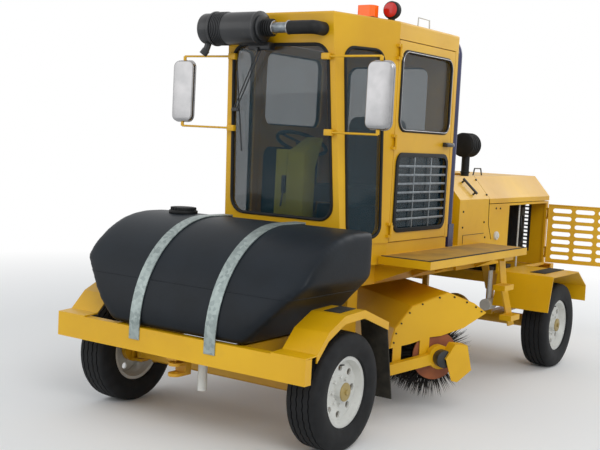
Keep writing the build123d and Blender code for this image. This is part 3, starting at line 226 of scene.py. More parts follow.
hubEnamel = paintedSteel("hub enamel", {
    "dark": "#8B7A4B", "light": "#A48F55", "driftMm": 80, "dustMm": 30, "dustAmount": 0.5,
    "dustColour": "#6E6453", "roughness": 0.5, "coat": 0.1})
blackEnamel = paintedSteel("black enamel", {
    "dark": "#17181A", "light": "#222427", "driftMm": 200, "dustMm": 60, "dustAmount": 0.25,
    "dustColour": "#4F4C47", "roughness": 0.42, "coat": 0.2})
navyEnamel = paintedSteel("navy enamel", {
    "dark": "#1A1E45", "light": "#262B5A", "driftMm": 200, "dustMm": 60, "dustAmount": 0.2,
    "dustColour": "#5C5A66", "roughness": 0.32, "coat": 0.4})
tankPoly = mouldedPolyethylene("moulded polyethylene")
zincStrap = galvanisedSteel("galvanised strap")
barMetal = barAluminium("bar aluminium")
tyreRubber = blackRubber("tyre rubber", "#0E0F11", "#1B1C1E", 0.72, 5)
gasketRubber = blackRubber("gasket rubber", "#0E0F10", "#191A1B", 0.6, 8)
gripRubber = blackRubber("grip strip", "#26241F", "#3C382F", 0.85, 3)
bristlePoly = blackRubber("bristle strands", "#141312", "#2E2B27", 0.7, 4)
seatVinyl = blackRubber("seat vinyl", "#16171A", "#22242A", 0.5, 6)
paneGlass = windowGlass("tinted window glass")
amberLens = lampLens("amber lens", "#FF6A10")
redLens = lampLens("red lens", "#B81D14")
mirrorSilver = mirrorGlass("mirror glass", "#A9B0B5", "#C3C9CD", 0.05)
mirrorShell = mirrorGlass("dulled chrome", "#989899", "#A6A5A6", 0.2)
# the deck tops, darker and browner than the yellow: painted shade and dirt
deckShadeAndDirt = paintedSteel("deck paint with painted shade and dirt", {
    "dark": "#8C6A24", "light": "#B98B22", "driftMm": 240, "dustMm": 50, "dustAmount": 0.75,
    "dustColour": "#6A5A40", "roughness": 0.72, "coat": 0.0})
reelPaint = paintedSteel("reel disc enamel", {
    "dark": "#7A3F22", "light": "#94522B", "driftMm": 90, "dustMm": 30, "dustAmount": 0.6,
    "dustColour": "#6B5640", "roughness": 0.6, "coat": 0.0})
print("materials ready")

# the CAD nodes by their finish
finishedNodes = [
    (frameYellow, ["frame_rails", "front_axle", "rear_axle", "tow_hitch", "knuckle_left", "knuckle_right",
                   "tie_rod", "swing_frame"]),
    (cabYellow, ["front_beam", "front_fenders", "side_decks", "access_steps", "cab_base", "cab_front",
                 "cab_rear", "cab_roof", "engine_housing", "rear_fenders", "rear_bumper", "door_left",
                 "door_right", "engine_door_left", "engine_door_right", "engine_lid", "broom_arms",
                 "broom_hood"]),
    (gripRubber, ["mud_flaps"]),
    (tankPoly, ["water_tank"]),
    (zincStrap, ["tank_straps"]),
    (paneGlass, ["cab_glass", "door_glass_left", "door_glass_right"]),
    (seatVinyl, ["seat"]),
    (consoleGreen, ["console"]),
    (amberLens, ["amber_beacon"]),
    (redLens, ["red_lamp", "tail_lamps"]),
    (mirrorShell, ["mirrors"]),
    (blackEnamel, ["air_cleaners", "engine_block", "radiator_grille"]),
    (navyEnamel, ["rollover_hoop"]),
    (whiteEnamel, ["filters", "rim_front_left", "rim_front_right", "rim_rear_left", "rim_rear_right"]),
    (barMetal, ["door_grille_left", "door_grille_right"]),
    (bristlePoly, ["broom_reel"]),
    (tyreRubber, ["tyre_front_left", "tyre_front_right", "tyre_rear_left", "tyre_rear_right"]),
]
for finish, nodeNames in finishedNodes:
    for nodeName in nodeNames:
        node = bpy.data.objects[nodeName]
        node.data.materials.clear()
        node.data.materials.append(finish)
print("CAD nodes finished")


# modelling helpers

def deselectAll():
    if bpy.context.object and bpy.context.object.mode != "OBJECT":
        bpy.ops.object.mode_set(mode="OBJECT")
    bpy.ops.object.select_all(action="DESELECT")


def pickOnly(piece):
    deselectAll()
    piece.select_set(True)
    bpy.context.view_layer.objects.active = piece


def settle(piece, name, body, finish, smooth=30):
    # its place goes into the mesh, then it gets a name, a finish, a smooth shade, a body and a slot
    pickOnly(piece)
    bpy.ops.object.transform_apply(location=True, rotation=True, scale=True)
    piece.name = name
    piece.data.name = name
    piece.data.materials.clear()
    piece.data.materials.append(finish)
    bpy.ops.object.shade_smooth_by_angle(angle=math.radians(smooth))
    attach(piece, body)
    return piece


def joined(pieces):
    deselectAll()
    for piece in pieces:
        piece.select_set(True)
    bpy.context.view_layer.objects.active = pieces[0]
    bpy.ops.object.join()
    return bpy.context.object


def linked(name, data):
    piece = bpy.data.objects.new(name, data)
    scene.collection.objects.link(piece)
    pickOnly(piece)
    return piece


def softenEdges(piece, widthMm, segments=2):
    if widthMm:
        bevel = piece.modifiers.new("bevel", "BEVEL")
        bevel.width = widthMm * mm
        bevel.segments = segments
        bevel.limit_method = "ANGLE"
        bpy.ops.object.modifier_apply(modifier=bevel.name)
    return piece


def faceOutward(piece):
    pickOnly(piece)
    bpy.ops.object.mode_set(mode="EDIT")
    bpy.ops.mesh.select_all(action="SELECT")
    bpy.ops.mesh.normals_make_consistent(inside=False)
    bpy.ops.object.mode_set(mode="OBJECT")


def block(centreMm, sizeMm, bevelMm=0.0, turn=(0, 0, 0)):
    deselectAll()
    bpy.ops.mesh.primitive_cube_add(size=1, location=[c * mm for c in centreMm], rotation=turn)
    piece = bpy.context.object
    piece.scale = [s * mm for s in sizeMm]
    bpy.ops.object.transform_apply(location=False, rotation=False, scale=True)
    return softenEdges(piece, bevelMm)


def drum(centreMm, radiusMm, lengthMm, axis="Z", sides=32, bevelMm=0.0):
    turn = {"Z": (0, 0, 0), "X": (0, math.pi / 2, 0), "Y": (math.pi / 2, 0, 0)}[axis]
    deselectAll()
    bpy.ops.mesh.primitive_cylinder_add(vertices=sides, radius=radiusMm * mm, depth=lengthMm * mm,
                                        location=[c * mm for c in centreMm], rotation=turn)
    return softenEdges(bpy.context.object, bevelMm)


def tube(pointsMm, radiusMm, closed=False, smooth=False, sides=4):
    # a round tube along a path, as a mesh
    deselectAll()
    curve = bpy.data.curves.new("tube", "CURVE")
    curve.dimensions = "3D"
    curve.bevel_depth = radiusMm * mm
    curve.bevel_resolution = sides
    curve.use_fill_caps = not closed
    spline = curve.splines.new("NURBS" if smooth else "POLY")
    spline.points.add(len(pointsMm) - 1)
    for point, place in zip(spline.points, pointsMm):
        point.co = (*[c * mm for c in place], 1)
    spline.use_cyclic_u = closed
    if smooth:
        spline.order_u = 3
        spline.use_endpoint_u = True
        curve.resolution_u = 8
    linked("tube", curve)
    bpy.ops.object.convert(target="MESH")
    return bpy.context.object


def prism(corners, reach, bevelMm=0.0, segments=2):
    # a flat outline in space pushed along a vector, in millimetres
    mesh = bpy.data.meshes.new("prism")
    mesh.from_pydata([[c * mm for c in corner] for corner in corners], [], [list(range(len(corners)))])
    piece = linked("prism", mesh)
    bpy.ops.object.mode_set(mode="EDIT")
    bpy.ops.mesh.select_all(action="SELECT")
    bpy.ops.mesh.extrude_region_move(TRANSFORM_OT_translate={"value": [c * mm for c in reach]})
    faceOutward(piece)
    return softenEdges(piece, bevelMm, segments)


def combine(piece, other, operation):
    # a boolean of two pieces; the second goes away
    pickOnly(piece)
    cut = piece.modifiers.new("cut", "BOOLEAN")
    cut.object = other
    cut.operation = operation
    cut.solver = "EXACT"
    bpy.ops.object.modifier_apply(modifier=cut.name)
    bpy.data.objects.remove(other)
    return piece


def roundedLoop(corners, radius, steps=6):
    # a closed outline with rounded corners
    loop = []
    count = len(corners)
    for index in range(count):
        before = Vector(corners[index - 1])
        here = Vector(corners[index])
        after = Vector(corners[(index + 1) % count])
        toBefore = (before - here).normalized()
        toAfter = (after - here).normalized()
        half = toBefore.angle(toAfter) / 2
        reach = radius / math.tan(half)
        centre = here + (toBefore + toAfter).normalized() * (radius / math.sin(half))
        start = here + toBefore * reach - centre
        end = here + toAfter * reach - centre
        sweep = start.angle(end)
        turn = 1 if start.x * end.y - start.y * end.x > 0 else -1
        for step in range(steps + 1):
            a = turn * sweep * step / steps
            x = start.x * math.cos(a) - start.y * math.sin(a)
            y = start.x * math.sin(a) + start.y * math.cos(a)
            loop.append((centre.x + x, centre.y + y))
    return loop


# cab geometry that the trim follows, in mm
cab = {
    "floorZ": 1128, "roofZ": 2590, "noseLowX": 1256, "noseHighX": 1387, "noseLowHalf": 470,
    "noseHighHalf": 408, "doorFrontX": 815, "doorRearX": -25, "halfWidth": 570, "rearX": -65,
    "windowCorner": 75,
}


def noseAt(z):
    share = (z - cab["floorZ"]) / (cab["roofZ"] - cab["floorZ"])
    return (cab["noseLowX"] + share * (cab["noseHighX"] - cab["noseLowX"]),
            cab["noseLowHalf"] + share * (cab["noseHighHalf"] - cab["noseLowHalf"]))


def onNose(y, z):
    return (noseAt(z)[0], y, z)


def onQuarter(x, z, hand):
    noseX, noseHalf = noseAt(z)
    share = (x - cab["doorFrontX"]) / (noseX - cab["doorFrontX"])
    return (x, hand * (cab["halfWidth"] + share * (noseHalf - cab["halfWidth"])), z)


def doorWindowLoop(place, reach, corner, y, steps=6):
    # a door window's outline moved out by a reach
    middle, length, height = doorWindows[place]
    halfX, halfZ = length / 2 + reach, height / 2 + reach
    corners = [(doorMidX - halfX, middle - halfZ), (doorMidX - halfX, middle + halfZ),
               (doorMidX + halfX, middle + halfZ), (doorMidX + halfX, middle - halfZ)]
    return [(x, y, z) for x, z in roundedLoop(corners, corner, steps)]


gasket = {"thick": 11, "windscreenCorner": 95}
# each door window: middle height, length and height
doorWindows = {"upper": (2142, 740, 525), "lower": (1463, 740, 517)}
doorMidX = (cab["doorFrontX"] + cab["doorRearX"]) / 2
windscreen = [(407, 1278), (371, 2386), (-371, 2386), (-407, 1278)]
quarter = [(1200, 1190), (1280, 2380), (950, 2385), (900, 1165)]
loop = [onNose(y, z) for y, z in roundedLoop(windscreen, gasket["windscreenCorner"])]
windscreenGasket = tube(loop, gasket["thick"], closed=True)
settle(windscreenGasket, "windscreen_gasket", "chassis", gasketRubber)
for side, hand in (("left", 1), ("right", -1)):
    loop = [onQuarter(x, z, hand) for x, z in roundedLoop(quarter, cab["windowCorner"])]
    settle(tube(loop, gasket["thick"], closed=True), "quarter_gasket_" + side, "chassis",
           gasketRubber)
    for place in doorWindows:
        loop = doorWindowLoop(place, 0, cab["windowCorner"], hand * cab["halfWidth"])
        settle(tube(loop, gasket["thick"], closed=True), "door_gasket_" + place + "_" + side,
               "door_" + side + "_body", gasketRubber)
rear = [(-350, 1800), (-350, 2360), (350, 2360), (350, 1800)]
loop = [(cab["rearX"], y, z) for y, z in roundedLoop(rear, cab["windowCorner"])]
settle(tube(loop, gasket["thick"], closed=True), "rear_gasket", "chassis", gasketRubber)
print("gaskets done")


# tyres: a spun section with circumferential grooves
tyre = {"radius": 350, "halfWidth": 111, "beadRadius": 208.5, "grooves": (-58, -20, 20, 58), "grooveWidth": 8,
        "grooveDepth": 9, "steps": 80, "zigzag": 3, "zigzagFrom": 330, "zigzagHalf": 70}
wheels = {
    "front_left": (1800, 815, 1), "front_right": (1800, -815, -1),
    "rear_left": (-1480, 860, 1), "rear_right": (-1480, -860, -1),
}


def tyreSection():
    # width from the middle and radius, bead to bead
    half = tyre["halfWidth"]
    bead = tyre["beadRadius"]
    side = [(half - 26, bead), (half - 14, bead + 6), (half - 6, bead + 34), (half - 1, bead + 60),
            (half - 1, bead + 78), (half - 4, 312), (half - 7, 318), (half - 8, 322), (half - 16, 338),
            (half - 30, 346)]
    crown = []
    for groove in tyre["grooves"]:
        crown += [(groove - tyre["grooveWidth"] / 2, 0), (groove - tyre["grooveWidth"] / 2 + 1, 1),
                  (groove + tyre["grooveWidth"] / 2 - 1, 1), (groove + tyre["grooveWidth"] / 2, 0)]
    points = [(-w, r) for w, r in side]
    for w, deep in crown:
        surface = tyre["radius"] - 4 * (w / 81) ** 2
        points.append((w, surface - (tyre["grooveDepth"] if deep else 0)))
    points += [(w, r) for w, r in reversed(side)]
    return points


def spunTyre(corner):
    x, y, hand = wheels[corner]
    section = tyreSection()
    mesh = bpy.data.meshes.new("tyre")
    edges = [(i, i + 1) for i in range(len(section) - 1)]
    mesh.from_pydata([(0, w * mm, r * mm) for w, r in section], edges, [])
    piece = linked("tyre", mesh)
    bpy.ops.object.mode_set(mode="EDIT")
    bpy.ops.mesh.select_all(action="SELECT")
    bpy.ops.mesh.spin(steps=tyre["steps"], angle=2 * math.pi, center=(0, 0, 0), axis=(0, 1, 0))
    bpy.ops.mesh.select_all(action="SELECT")
    bpy.ops.mesh.remove_doubles(threshold=0.0001)
    faceOutward(piece)
    # the tread grooves zigzag from step to step
    for vertex in piece.data.vertices:
        reach = math.hypot(vertex.co.x, vertex.co.z)
        step = round(math.atan2(vertex.co.x, vertex.co.z) / (2 * math.pi) * tyre["steps"])
        if reach > tyre["zigzagFrom"] * mm and abs(vertex.co.y) < tyre["zigzagHalf"] * mm:
            vertex.co.y += tyre["zigzag"] * mm * (1 if step % 2 else -1)
    piece.location = (x * mm, y * mm, tyre["radius"] * mm)
    return piece


for corner in wheels:
    piece = spunTyre(corner)
    settle(piece, "road_tyre_" + corner, "wheel_" + corner, tyreRubber, smooth=40)
    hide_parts("tyre_" + corner)
print("tyres done")


# rims: a domed hub cap and the valve stem
wheelTrim = {"discFace": 40, "capRadius": 55, "capReach": 48, "nutRadius": 17, "nutReach": 14, "stemAt": 150,
             "stemRadius": 4}
for corner, (x, y, hand) in wheels.items():
    axleZ = tyre["radius"]
    faceY = y + hand * wheelTrim["discFace"]
    capY = faceY + hand * wheelTrim["capReach"] / 2
    nutY = faceY + hand * (wheelTrim["capReach"] + wheelTrim["nutReach"] / 2 - 2)
    cap = drum((x, capY, axleZ), wheelTrim["capRadius"], wheelTrim["capReach"], "Y", 40, 6)
    nut = drum((x, nutY, axleZ), wheelTrim["nutRadius"], wheelTrim["nutReach"], "Y", 6, 2)
    settle(joined([cap, nut]), "hub_cap_" + corner, "wheel_" + corner, hubEnamel)
    stemZ = axleZ + wheelTrim["stemAt"]
    stem = tube([(x, faceY - hand * 6, stemZ), (x, faceY + hand * 26, stemZ + 6)], wheelTrim["stemRadius"])
    settle(stem, "valve_stem_" + corner, "wheel_" + corner, gasketRubber)
print("wheel trim done")


# reel: wafers of loose bristles on a core with end discs and stub shafts
reel = {"swing": 35, "pivotX": 29, "z": 396, "core": 125, "half": 1058, "wafers": 62, "strands": 78,
        "reach": 318, "spread": 22, "root": 5.5, "disc": 165, "discT": 1073, "discThick": 12,
        "hub": 68.75, "hubThick": 20, "stub": 20, "stubT": 1150}
aheadDir = Vector((math.cos(math.radians(reel["swing"])), -math.sin(math.radians(reel["swing"])), 0))
alongDir = Vector((math.sin(math.radians(reel["swing"])), math.cos(math.radians(reel["swing"])), 0))
reelMiddle = Vector((reel["pivotX"] * mm, 0, reel["z"] * mm))
# turns an upright Y axis into the reel's own
reelTurn = Matrix((aheadDir, alongDir, Vector((0, 0, 1)))).transposed()


def atBroom(a, t, z):
    # millimetres ahead of the reel, along it and up
    return (aheadDir * a + alongDir * t) * mm + Vector((reel["pivotX"] * mm, 0, z * mm))


def bristleWafer(seed):
    # one ring of three-sided strands of uneven length, about the origin, along Y
    pick = random.Random(seed)
    verts, faces = [], []
    for index in range(reel["strands"]):
        angle = 2 * math.pi * (index + pick.uniform(-0.4, 0.4)) / reel["strands"]
        reach = reel["reach"] - pick.uniform(0, reel["spread"])
        lean = pick.uniform(-0.06, 0.06)
        side = pick.uniform(-14, 14)
        base = len(verts)
        for corner in range(3):
            turn = corner * 2 * math.pi / 3
            across = reel["root"] * math.cos(turn)
            verts.append((
                (reel["core"] - 6) * math.sin(angle) + across * math.cos(angle),
                reel["root"] * 1.6 * math.sin(turn),
                (reel["core"] - 6) * math.cos(angle) - across * math.sin(angle)))
        verts.append((reach * math.sin(angle + lean), side, reach * math.cos(angle + lean)))
        faces += [(base, base + 1, base + 3), (base + 1, base + 2, base + 3), (base + 2, base, base + 3)]
    mesh = bpy.data.meshes.new("wafer")
    mesh.from_pydata([[c * mm for c in vert] for vert in verts], [], faces)
    return mesh


wafers = []
for index in range(reel["wafers"]):
    wafer = linked("wafer", bristleWafer(index % 5))
    share = (index + 0.5) / reel["wafers"] * 2 - 1
    spin = Matrix.Rotation(index * 2.39996, 3, "Y")
    wafer.matrix_world = Matrix.Translation(reelMiddle + alongDir * share * reel["half"] * mm) @ (
        reelTurn @ spin).to_4x4()
    wafers.append(wafer)
bristles = joined(wafers)
settle(bristles, "reel_bristles", "broom_reel_body", bristlePoly, smooth=20)
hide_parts("broom_reel")


def onReel(radiusMm, lengthMm, t, sides, bevelMm=0.0):
    # a drum round the reel's axis, its middle t along it
    piece = drum((0, 0, 0), radiusMm, lengthMm, "Z", sides, bevelMm)
    piece.matrix_world = Matrix.Translation(reelMiddle + alongDir * t * mm) @ (
        reelTurn @ Matrix.Rotation(math.pi / 2, 3, "X")).to_4x4()
    return piece


core = onReel(reel["core"], 2 * reel["half"], 0, 48)
settle(core, "reel_core", "broom_reel_body", bristlePoly)
discs = []
for hand in (1, -1):
    discs.append(onReel(reel["disc"], reel["discThick"], hand * reel["discT"], 56, 2))
    discs.append(onReel(reel["hub"], reel["hubThick"], hand * (reel["discT"] - 2), 40, 3))
shaft = onReel(reel["stub"], 2 * reel["stubT"], 0, 24, 2)
settle(joined(discs + [shaft]), "reel_discs", "broom_reel_body", reelPaint)
print("reel done")


# seat: pedestal, stitched cushion and backrest
seat = {"x": 370, "floor": 1128, "pedestal": (360, 380, 200), "cushion": (480, 480, 135),
        "back": (110, 460, 600), "lean": 8, "pedestalUp": 101, "cushionUp": 282, "backUp": 550,
        "backBehind": 277, "seamDeep": 9, "seamWide": 11}


def paddedBlock(centreMm, sizeMm, turn=(0, 0, 0)):
    # a box cut into a finer grid for seams, rounded by subdivision
    piece = block(centreMm, sizeMm, 0, turn)
    pickOnly(piece)
    bpy.ops.object.mode_set(mode="EDIT")
    bpy.ops.mesh.select_all(action="SELECT")
    bpy.ops.mesh.subdivide(number_cuts=3)
    bpy.ops.object.mode_set(mode="OBJECT")
    rounding = piece.modifiers.new("rounding", "SUBSURF")
    rounding.levels = 3
    rounding.render_levels = 3
    bpy.ops.object.modifier_apply(modifier=rounding.name)
    return piece


def pressSeams(piece, axisA, axisB, normalAxis, seamsA, seamsB, depthMm, widthMm):
    # narrow valleys across the padded face
    for vertex in piece.data.vertices:
        dip = 0.0
        for axis, seams in ((axisA, seamsA), (axisB, seamsB)):
            for seam in seams:
                dip = max(dip, math.exp(-((vertex.co[axis] / mm - seam) / widthMm) ** 2))
        vertex.co[normalAxis] -= dip * depthMm * mm * (1 if vertex.co[normalAxis] > 0 else 0)


cushion = paddedBlock((0, 0, 0), seat["cushion"])
pressSeams(cushion, 0, 1, 2, (-150, 150), (-160, 160), seat["seamDeep"], seat["seamWide"])
cushion.location = (seat["x"] * mm, 0, (seat["floor"] + seat["cushionUp"]) * mm)
settle(cushion, "seat_cushion", "chassis", seatVinyl, smooth=180)
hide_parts("seat")
backrest = paddedBlock((0, 0, 0), seat["back"])
pressSeams(backrest, 2, 1, 0, (-190, 190), (-150, 150), seat["seamDeep"], seat["seamWide"])
backrest.rotation_euler = (0, -math.radians(seat["lean"]), 0)
backrest.location = ((seat["x"] - seat["backBehind"]) * mm, 0, (seat["floor"] + seat["backUp"]) * mm)
settle(backrest, "seat_backrest", "chassis", seatVinyl, smooth=180)
pedestal = block((seat["x"], 0, seat["floor"] + seat["pedestalUp"]), seat["pedestal"], 12)
settle(pedestal, "seat_pedestal", "chassis", blackEnamel)
print("seat done")


# water tank: round-nosed moulding with bevelled lower sides, its ends softly rounded
tank = {"rear": 1470, "nose": 2303, "low": 619, "top": 1262, "half": 850, "floorHalf": 505, "bevelTop": 985,
        "spare": 50, "grain": 18, "softening": 42, "arcSteps": 22, "capAt": (1620, -535), "capRadius": 95,
        "collar": (9, 22), "lid": (27, 26), "lidIn": 16, "capRibs": 22, "rib": (8, 9, 24), "ribIn": 14,
        "seamZ": 905, "seamRadius": 2.4}
radius = tank["top"] - tank["low"]
centreX = tank["nose"] - radius
sideOutline = [(tank["rear"], tank["low"]), (tank["rear"], tank["top"])]
for step in range(tank["arcSteps"] + 1):
    turn = math.pi / 2 * (1 - step / tank["arcSteps"])
    sideOutline.append((centreX + radius * math.cos(turn), tank["low"] + radius * math.sin(turn)))
front = [(tank["floorHalf"], tank["low"]), (tank["half"], tank["bevelTop"]), (tank["half"], tank["top"])]
front += [(-y, z) for y, z in reversed(front)]
spare = tank["spare"]
lengthwise = tank["nose"] - tank["rear"] + 2 * spare
moulding = prism([(tank["rear"] - spare, y, z) for y, z in front], (lengthwise, 0, 0))
across = tank["half"] + spare
combine(moulding, prism([(x, -across, z) for x, z in sideOutline], (0, 2 * across, 0)), "INTERSECT")
for kind, settings in (("REMESH", {"mode": "VOXEL", "voxel_size": tank["grain"] * mm}),
                       ("SMOOTH", {"factor": 0.5, "iterations": tank["softening"]})):
    step = moulding.modifiers.new(kind, kind)
    for key, value in settings.items():
        setattr(step, key, value)
    pickOnly(moulding)
    bpy.ops.object.modifier_apply(modifier=step.name)
# the mould line is the tank's own outline at one height, as a thin bead
bpy.ops.object.duplicate()
bpy.ops.object.mode_set(mode="EDIT")
bpy.ops.mesh.select_all(action="SELECT")
bpy.ops.mesh.bisect(plane_co=(0, 0, tank["seamZ"] * mm), plane_no=(0, 0, 1), clear_inner=True,
                    clear_outer=True)
bpy.ops.object.mode_set(mode="OBJECT")
bpy.ops.object.convert(target="CURVE")
bead = bpy.context.object
bead.data.bevel_depth = tank["seamRadius"] * mm
bead.data.bevel_resolution = 2
bpy.ops.object.convert(target="MESH")
settle(bpy.context.object, "tank_mould_line", "chassis", tankPoly)
settle(moulding, "tank_moulding", "chassis", tankPoly, smooth=60)
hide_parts("water_tank")
capX, capY = tank["capAt"]
# collar and lid: the middle's height above the tank, then the thickness
collar = drum((capX, capY, tank["top"] + tank["collar"][0]), tank["capRadius"], tank["collar"][1], "Z", 48, 5)
lidZ = tank["top"] + tank["lid"][0]
lid = drum((capX, capY, lidZ), tank["capRadius"] - tank["lidIn"], tank["lid"][1], "Z", 48, 5)
ribs = []
for index in range(tank["capRibs"]):
    turn = 2 * math.pi * index / tank["capRibs"]
    reach = tank["capRadius"] - tank["ribIn"]
    place = (capX + reach * math.cos(turn), capY + reach * math.sin(turn), lidZ)
    ribs.append(block(place, tank["rib"], 2, (0, 0, turn)))
settle(joined([collar, lid] + ribs), "tank_cap", "chassis", gasketRubber)
print("tank done")


# mirrors: chromed shells with a rolled rim, silvered glass behind, thin arms
mirror = {"x": 1390, "y": 775, "low": 1868, "high": 2280, "width": 178, "deep": 36, "corner": 45, "arm": 7,
          "stub": 30, "foot": (30, 60, 40), "rim": 5, "rimIn": 8}
for side, hand in (("left", 1), ("right", -1)):
    middleY = hand * mirror["y"]
    half = mirror["width"] / 2
    outline = [(middleY - half, mirror["low"]), (middleY - half, mirror["high"]),
               (middleY + half, mirror["high"]), (middleY + half, mirror["low"])]
    loop = roundedLoop(outline, mirror["corner"], 8)
    rearX = mirror["x"] - mirror["deep"] / 2
    shell = prism([(rearX, y, z) for y, z in loop], (mirror["deep"] - 2, 0, 0), 10, 4)
    rimIn = mirror["rimIn"]
    rim = tube([(rearX + rimIn, y, z) for y, z in loop], mirror["rim"], closed=True)
    settle(joined([shell, rim]), "mirror_shell_" + side, "chassis", mirrorShell)
    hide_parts("mirrors")
    middleZ = (mirror["low"] + mirror["high"]) / 2
    inner = [(y + (rimIn if y < middleY else -rimIn), z + (rimIn if z < middleZ else -rimIn))
             for y, z in outline]
    inner = roundedLoop(inner, mirror["corner"] - rimIn, 8)
    settle(prism([(rearX + 1, y, z) for y, z in inner], (-3, 0, 0), 1, 1), "mirror_pane_" + side, "chassis",
           mirrorSilver)
    pieces = []
    for armZ, up in ((mirror["low"] - mirror["stub"], 1), (mirror["high"] + mirror["stub"], -1)):
        noseX, noseHalf = noseAt(armZ + mirror["foot"][2] / 2)
        rootY = hand * (noseHalf - 50)
        pieces.append(tube([(noseX + 16, rootY, armZ), (mirror["x"], middleY, armZ)], mirror["arm"]))
        stubMid = armZ + up * (mirror["stub"] - 2) / 2
        pieces.append(block((mirror["x"], middleY, stubMid), (10, 22, mirror["stub"]), 2))
        pieces.append(block((noseX + 1 + mirror["foot"][0] / 2, rootY, armZ), mirror["foot"], 4))
    settle(joined(pieces), "mirror_arm_" + side, "chassis", cabYellow)
print("mirrors done")


# cab air cleaner: canister with a clamp ring, ribbed elbow, bright clamps, bare pipe and hose
cleaner = {"x": 1490, "z": 2478, "radius": 104, "ringRadius": 113, "hoseY": 340, "hose": 43, "pipe": 33}


def alongY(start, end, radiusMm, sides=48, bevelMm=3):
    return drum((cleaner["x"], (start + end) / 2, cleaner["z"]), radiusMm, end - start, "Y", sides, bevelMm)


body = [alongY(-518, -424, cleaner["radius"] - 3, bevelMm=12), alongY(-426, -56, cleaner["radius"]),
        alongY(-58, -34, 86, bevelMm=10), alongY(-432, -412, cleaner["ringRadius"], bevelMm=4)]
for y in range(-402, -318, 14):
    body.append(alongY(y, y + 6, cleaner["radius"] + 5, bevelMm=2))
body.append(alongY(-78, -60, cleaner["radius"] + 3, bevelMm=4))
body.append(block((cleaner["x"] - 70, -250, cleaner["z"]), (80, 120, 60), 6))
# the dust valve hangs below: two tubes, each by its two ends and its radius
for start, end, thick in (((8, -480, -84), (16, -500, -150), 22), ((14, -496, -136), (24, -516, -168), 27)):
    ends = [(cleaner["x"] + x, y, cleaner["z"] + z) for x, y, z in (start, end)]
    body.append(tube(ends, thick))
settle(joined(body), "cab_air_cleaner", "chassis", blackEnamel)
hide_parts("air_cleaners")
elbow = [alongY(-38, 34, 47, bevelMm=8)] + [alongY(y, y + 9, 56, bevelMm=3) for y in (-30, -12, 6, 22)]
hosePath = [(cleaner["x"], 150), (cleaner["x"], 290), (cleaner["x"], cleaner["hoseY"]),
            (cleaner["x"] - 55, cleaner["hoseY"]), (1384, cleaner["hoseY"])]
elbow.append(tube([(x, y, cleaner["z"]) for x, y in hosePath], cleaner["hose"], smooth=True, sides=8))
settle(joined(elbow), "intake_hose", "chassis", gasketRubber)
settle(alongY(44, 152, cleaner["pipe"]), "intake_pipe", "chassis", barMetal)
clamps = [alongY(-44, -36, 58), alongY(36, 46, 45), alongY(150, 160, cleaner["hose"] + 2)]
settle(joined(clamps), "intake_clamps", "chassis", mirrorShell)

# engine pre-cleaner: ribbed drum on a neck above the housing
preCleaner = {"at": (-745, 360, 1808), "radius": 86, "rib": 96, "ribWide": 14, "length": 160, "ribs": 5,
              "neck": 32, "foot": 1562}
px, py, pz = preCleaner["at"]
pieces = [drum((px, py, pz), preCleaner["radius"], preCleaner["length"], "X", 48, 10)]
pitch = preCleaner["length"] / preCleaner["ribs"]
for index in range(preCleaner["ribs"]):
    ribX = px - preCleaner["length"] / 2 + pitch * (index + 0.5)
    pieces.append(drum((ribX, py, pz), preCleaner["rib"], preCleaner["ribWide"], "X", 48, 4))
neckMid = (preCleaner["foot"] + pz) / 2
pieces.append(drum((px, py, neckMid), preCleaner["neck"], pz - preCleaner["foot"], "Z", 32))
pieces.append(drum((px, py, preCleaner["foot"] + 30), preCleaner["neck"] + 6, 12, "Z", 32, 3))
settle(joined(pieces), "engine_pre_cleaner", "chassis", gasketRubber)
print("air cleaners done")


# wiper: motor box over the windscreen, a pair of thin arms and a hanging blade
wiper = {"motorY": -120, "motorZ": 2372, "motor": (70, 170, 48), "root": (-125, 2352), "tip": (-350, 1962),
         "bladeTop": (-335, 2215), "bladeLow": (-305, 1690), "off": 26, "bladeOff": 16, "armApart": 12,
         "arm": 4, "blade": 5, "clip": (14, 60, 24)}


def overGlass(place, off):
    y, z = place
    return (noseAt(z)[0] + off, y, z)


motorX = noseAt(wiper["motorZ"])[0] + wiper["motor"][0] / 2
pieces = [block((motorX, wiper["motorY"], wiper["motorZ"]), wiper["motor"], 8),
          drum((motorX + 30, wiper["root"][0], wiper["root"][1]), 12, 40, "X", 20, 3)]
for shift in (-wiper["armApart"], wiper["armApart"]):
    start = overGlass((wiper["root"][0] + shift, wiper["root"][1]), wiper["off"] + 20)
    end = overGlass((wiper["tip"][0] + shift, wiper["tip"][1]), wiper["off"])
    pieces.append(tube([start, end], wiper["arm"]))
bladeTop = overGlass(wiper["bladeTop"], wiper["bladeOff"])
bladeLow = overGlass(wiper["bladeLow"], wiper["bladeOff"])
pieces.append(tube([bladeTop, bladeLow], wiper["blade"]))
pieces.append(block(overGlass(wiper["tip"], wiper["bladeOff"] + 6), wiper["clip"], 3))
settle(joined(pieces), "wiper", "chassis", blackEnamel)
print("wiper done")


# steering console: a cabinet with a sloping top, a side panel with its lever, column and wheel
console = {"profile": [(1150, 1130), (1150, 1703), (927, 1807), (1010, 1600), (1010, 1130)], "y": (-50, 90),
           "floor": 1130, "panelX": 1112, "panelY": (-162, -50), "panelTop": 1714,
           "columnFoot": (989, -170, 1378), "wheelAt": (811, -170, 1758), "wheelRadius": 178,
           "wheelTube": 13, "columnRadius": 22, "lean": -25}
fromY, toY = console["y"]
cabinet = prism([(x, fromY, z) for x, z in console["profile"]], (0, toY - fromY, 0), 9)
panelMid = sum(console["panelY"]) / 2
panelZ = (console["floor"] + console["panelTop"]) / 2
panelSize = (24, console["panelY"][1] - console["panelY"][0] - 2, console["panelTop"] - console["floor"])
panel = block((console["panelX"], panelMid, panelZ), panelSize, 6)
settle(joined([cabinet, panel]), "console_cabinet", "chassis", consoleGreen)
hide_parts("console")
footX, footY, footZ = console["columnFoot"]
lean = math.radians(console["lean"])
deselectAll()
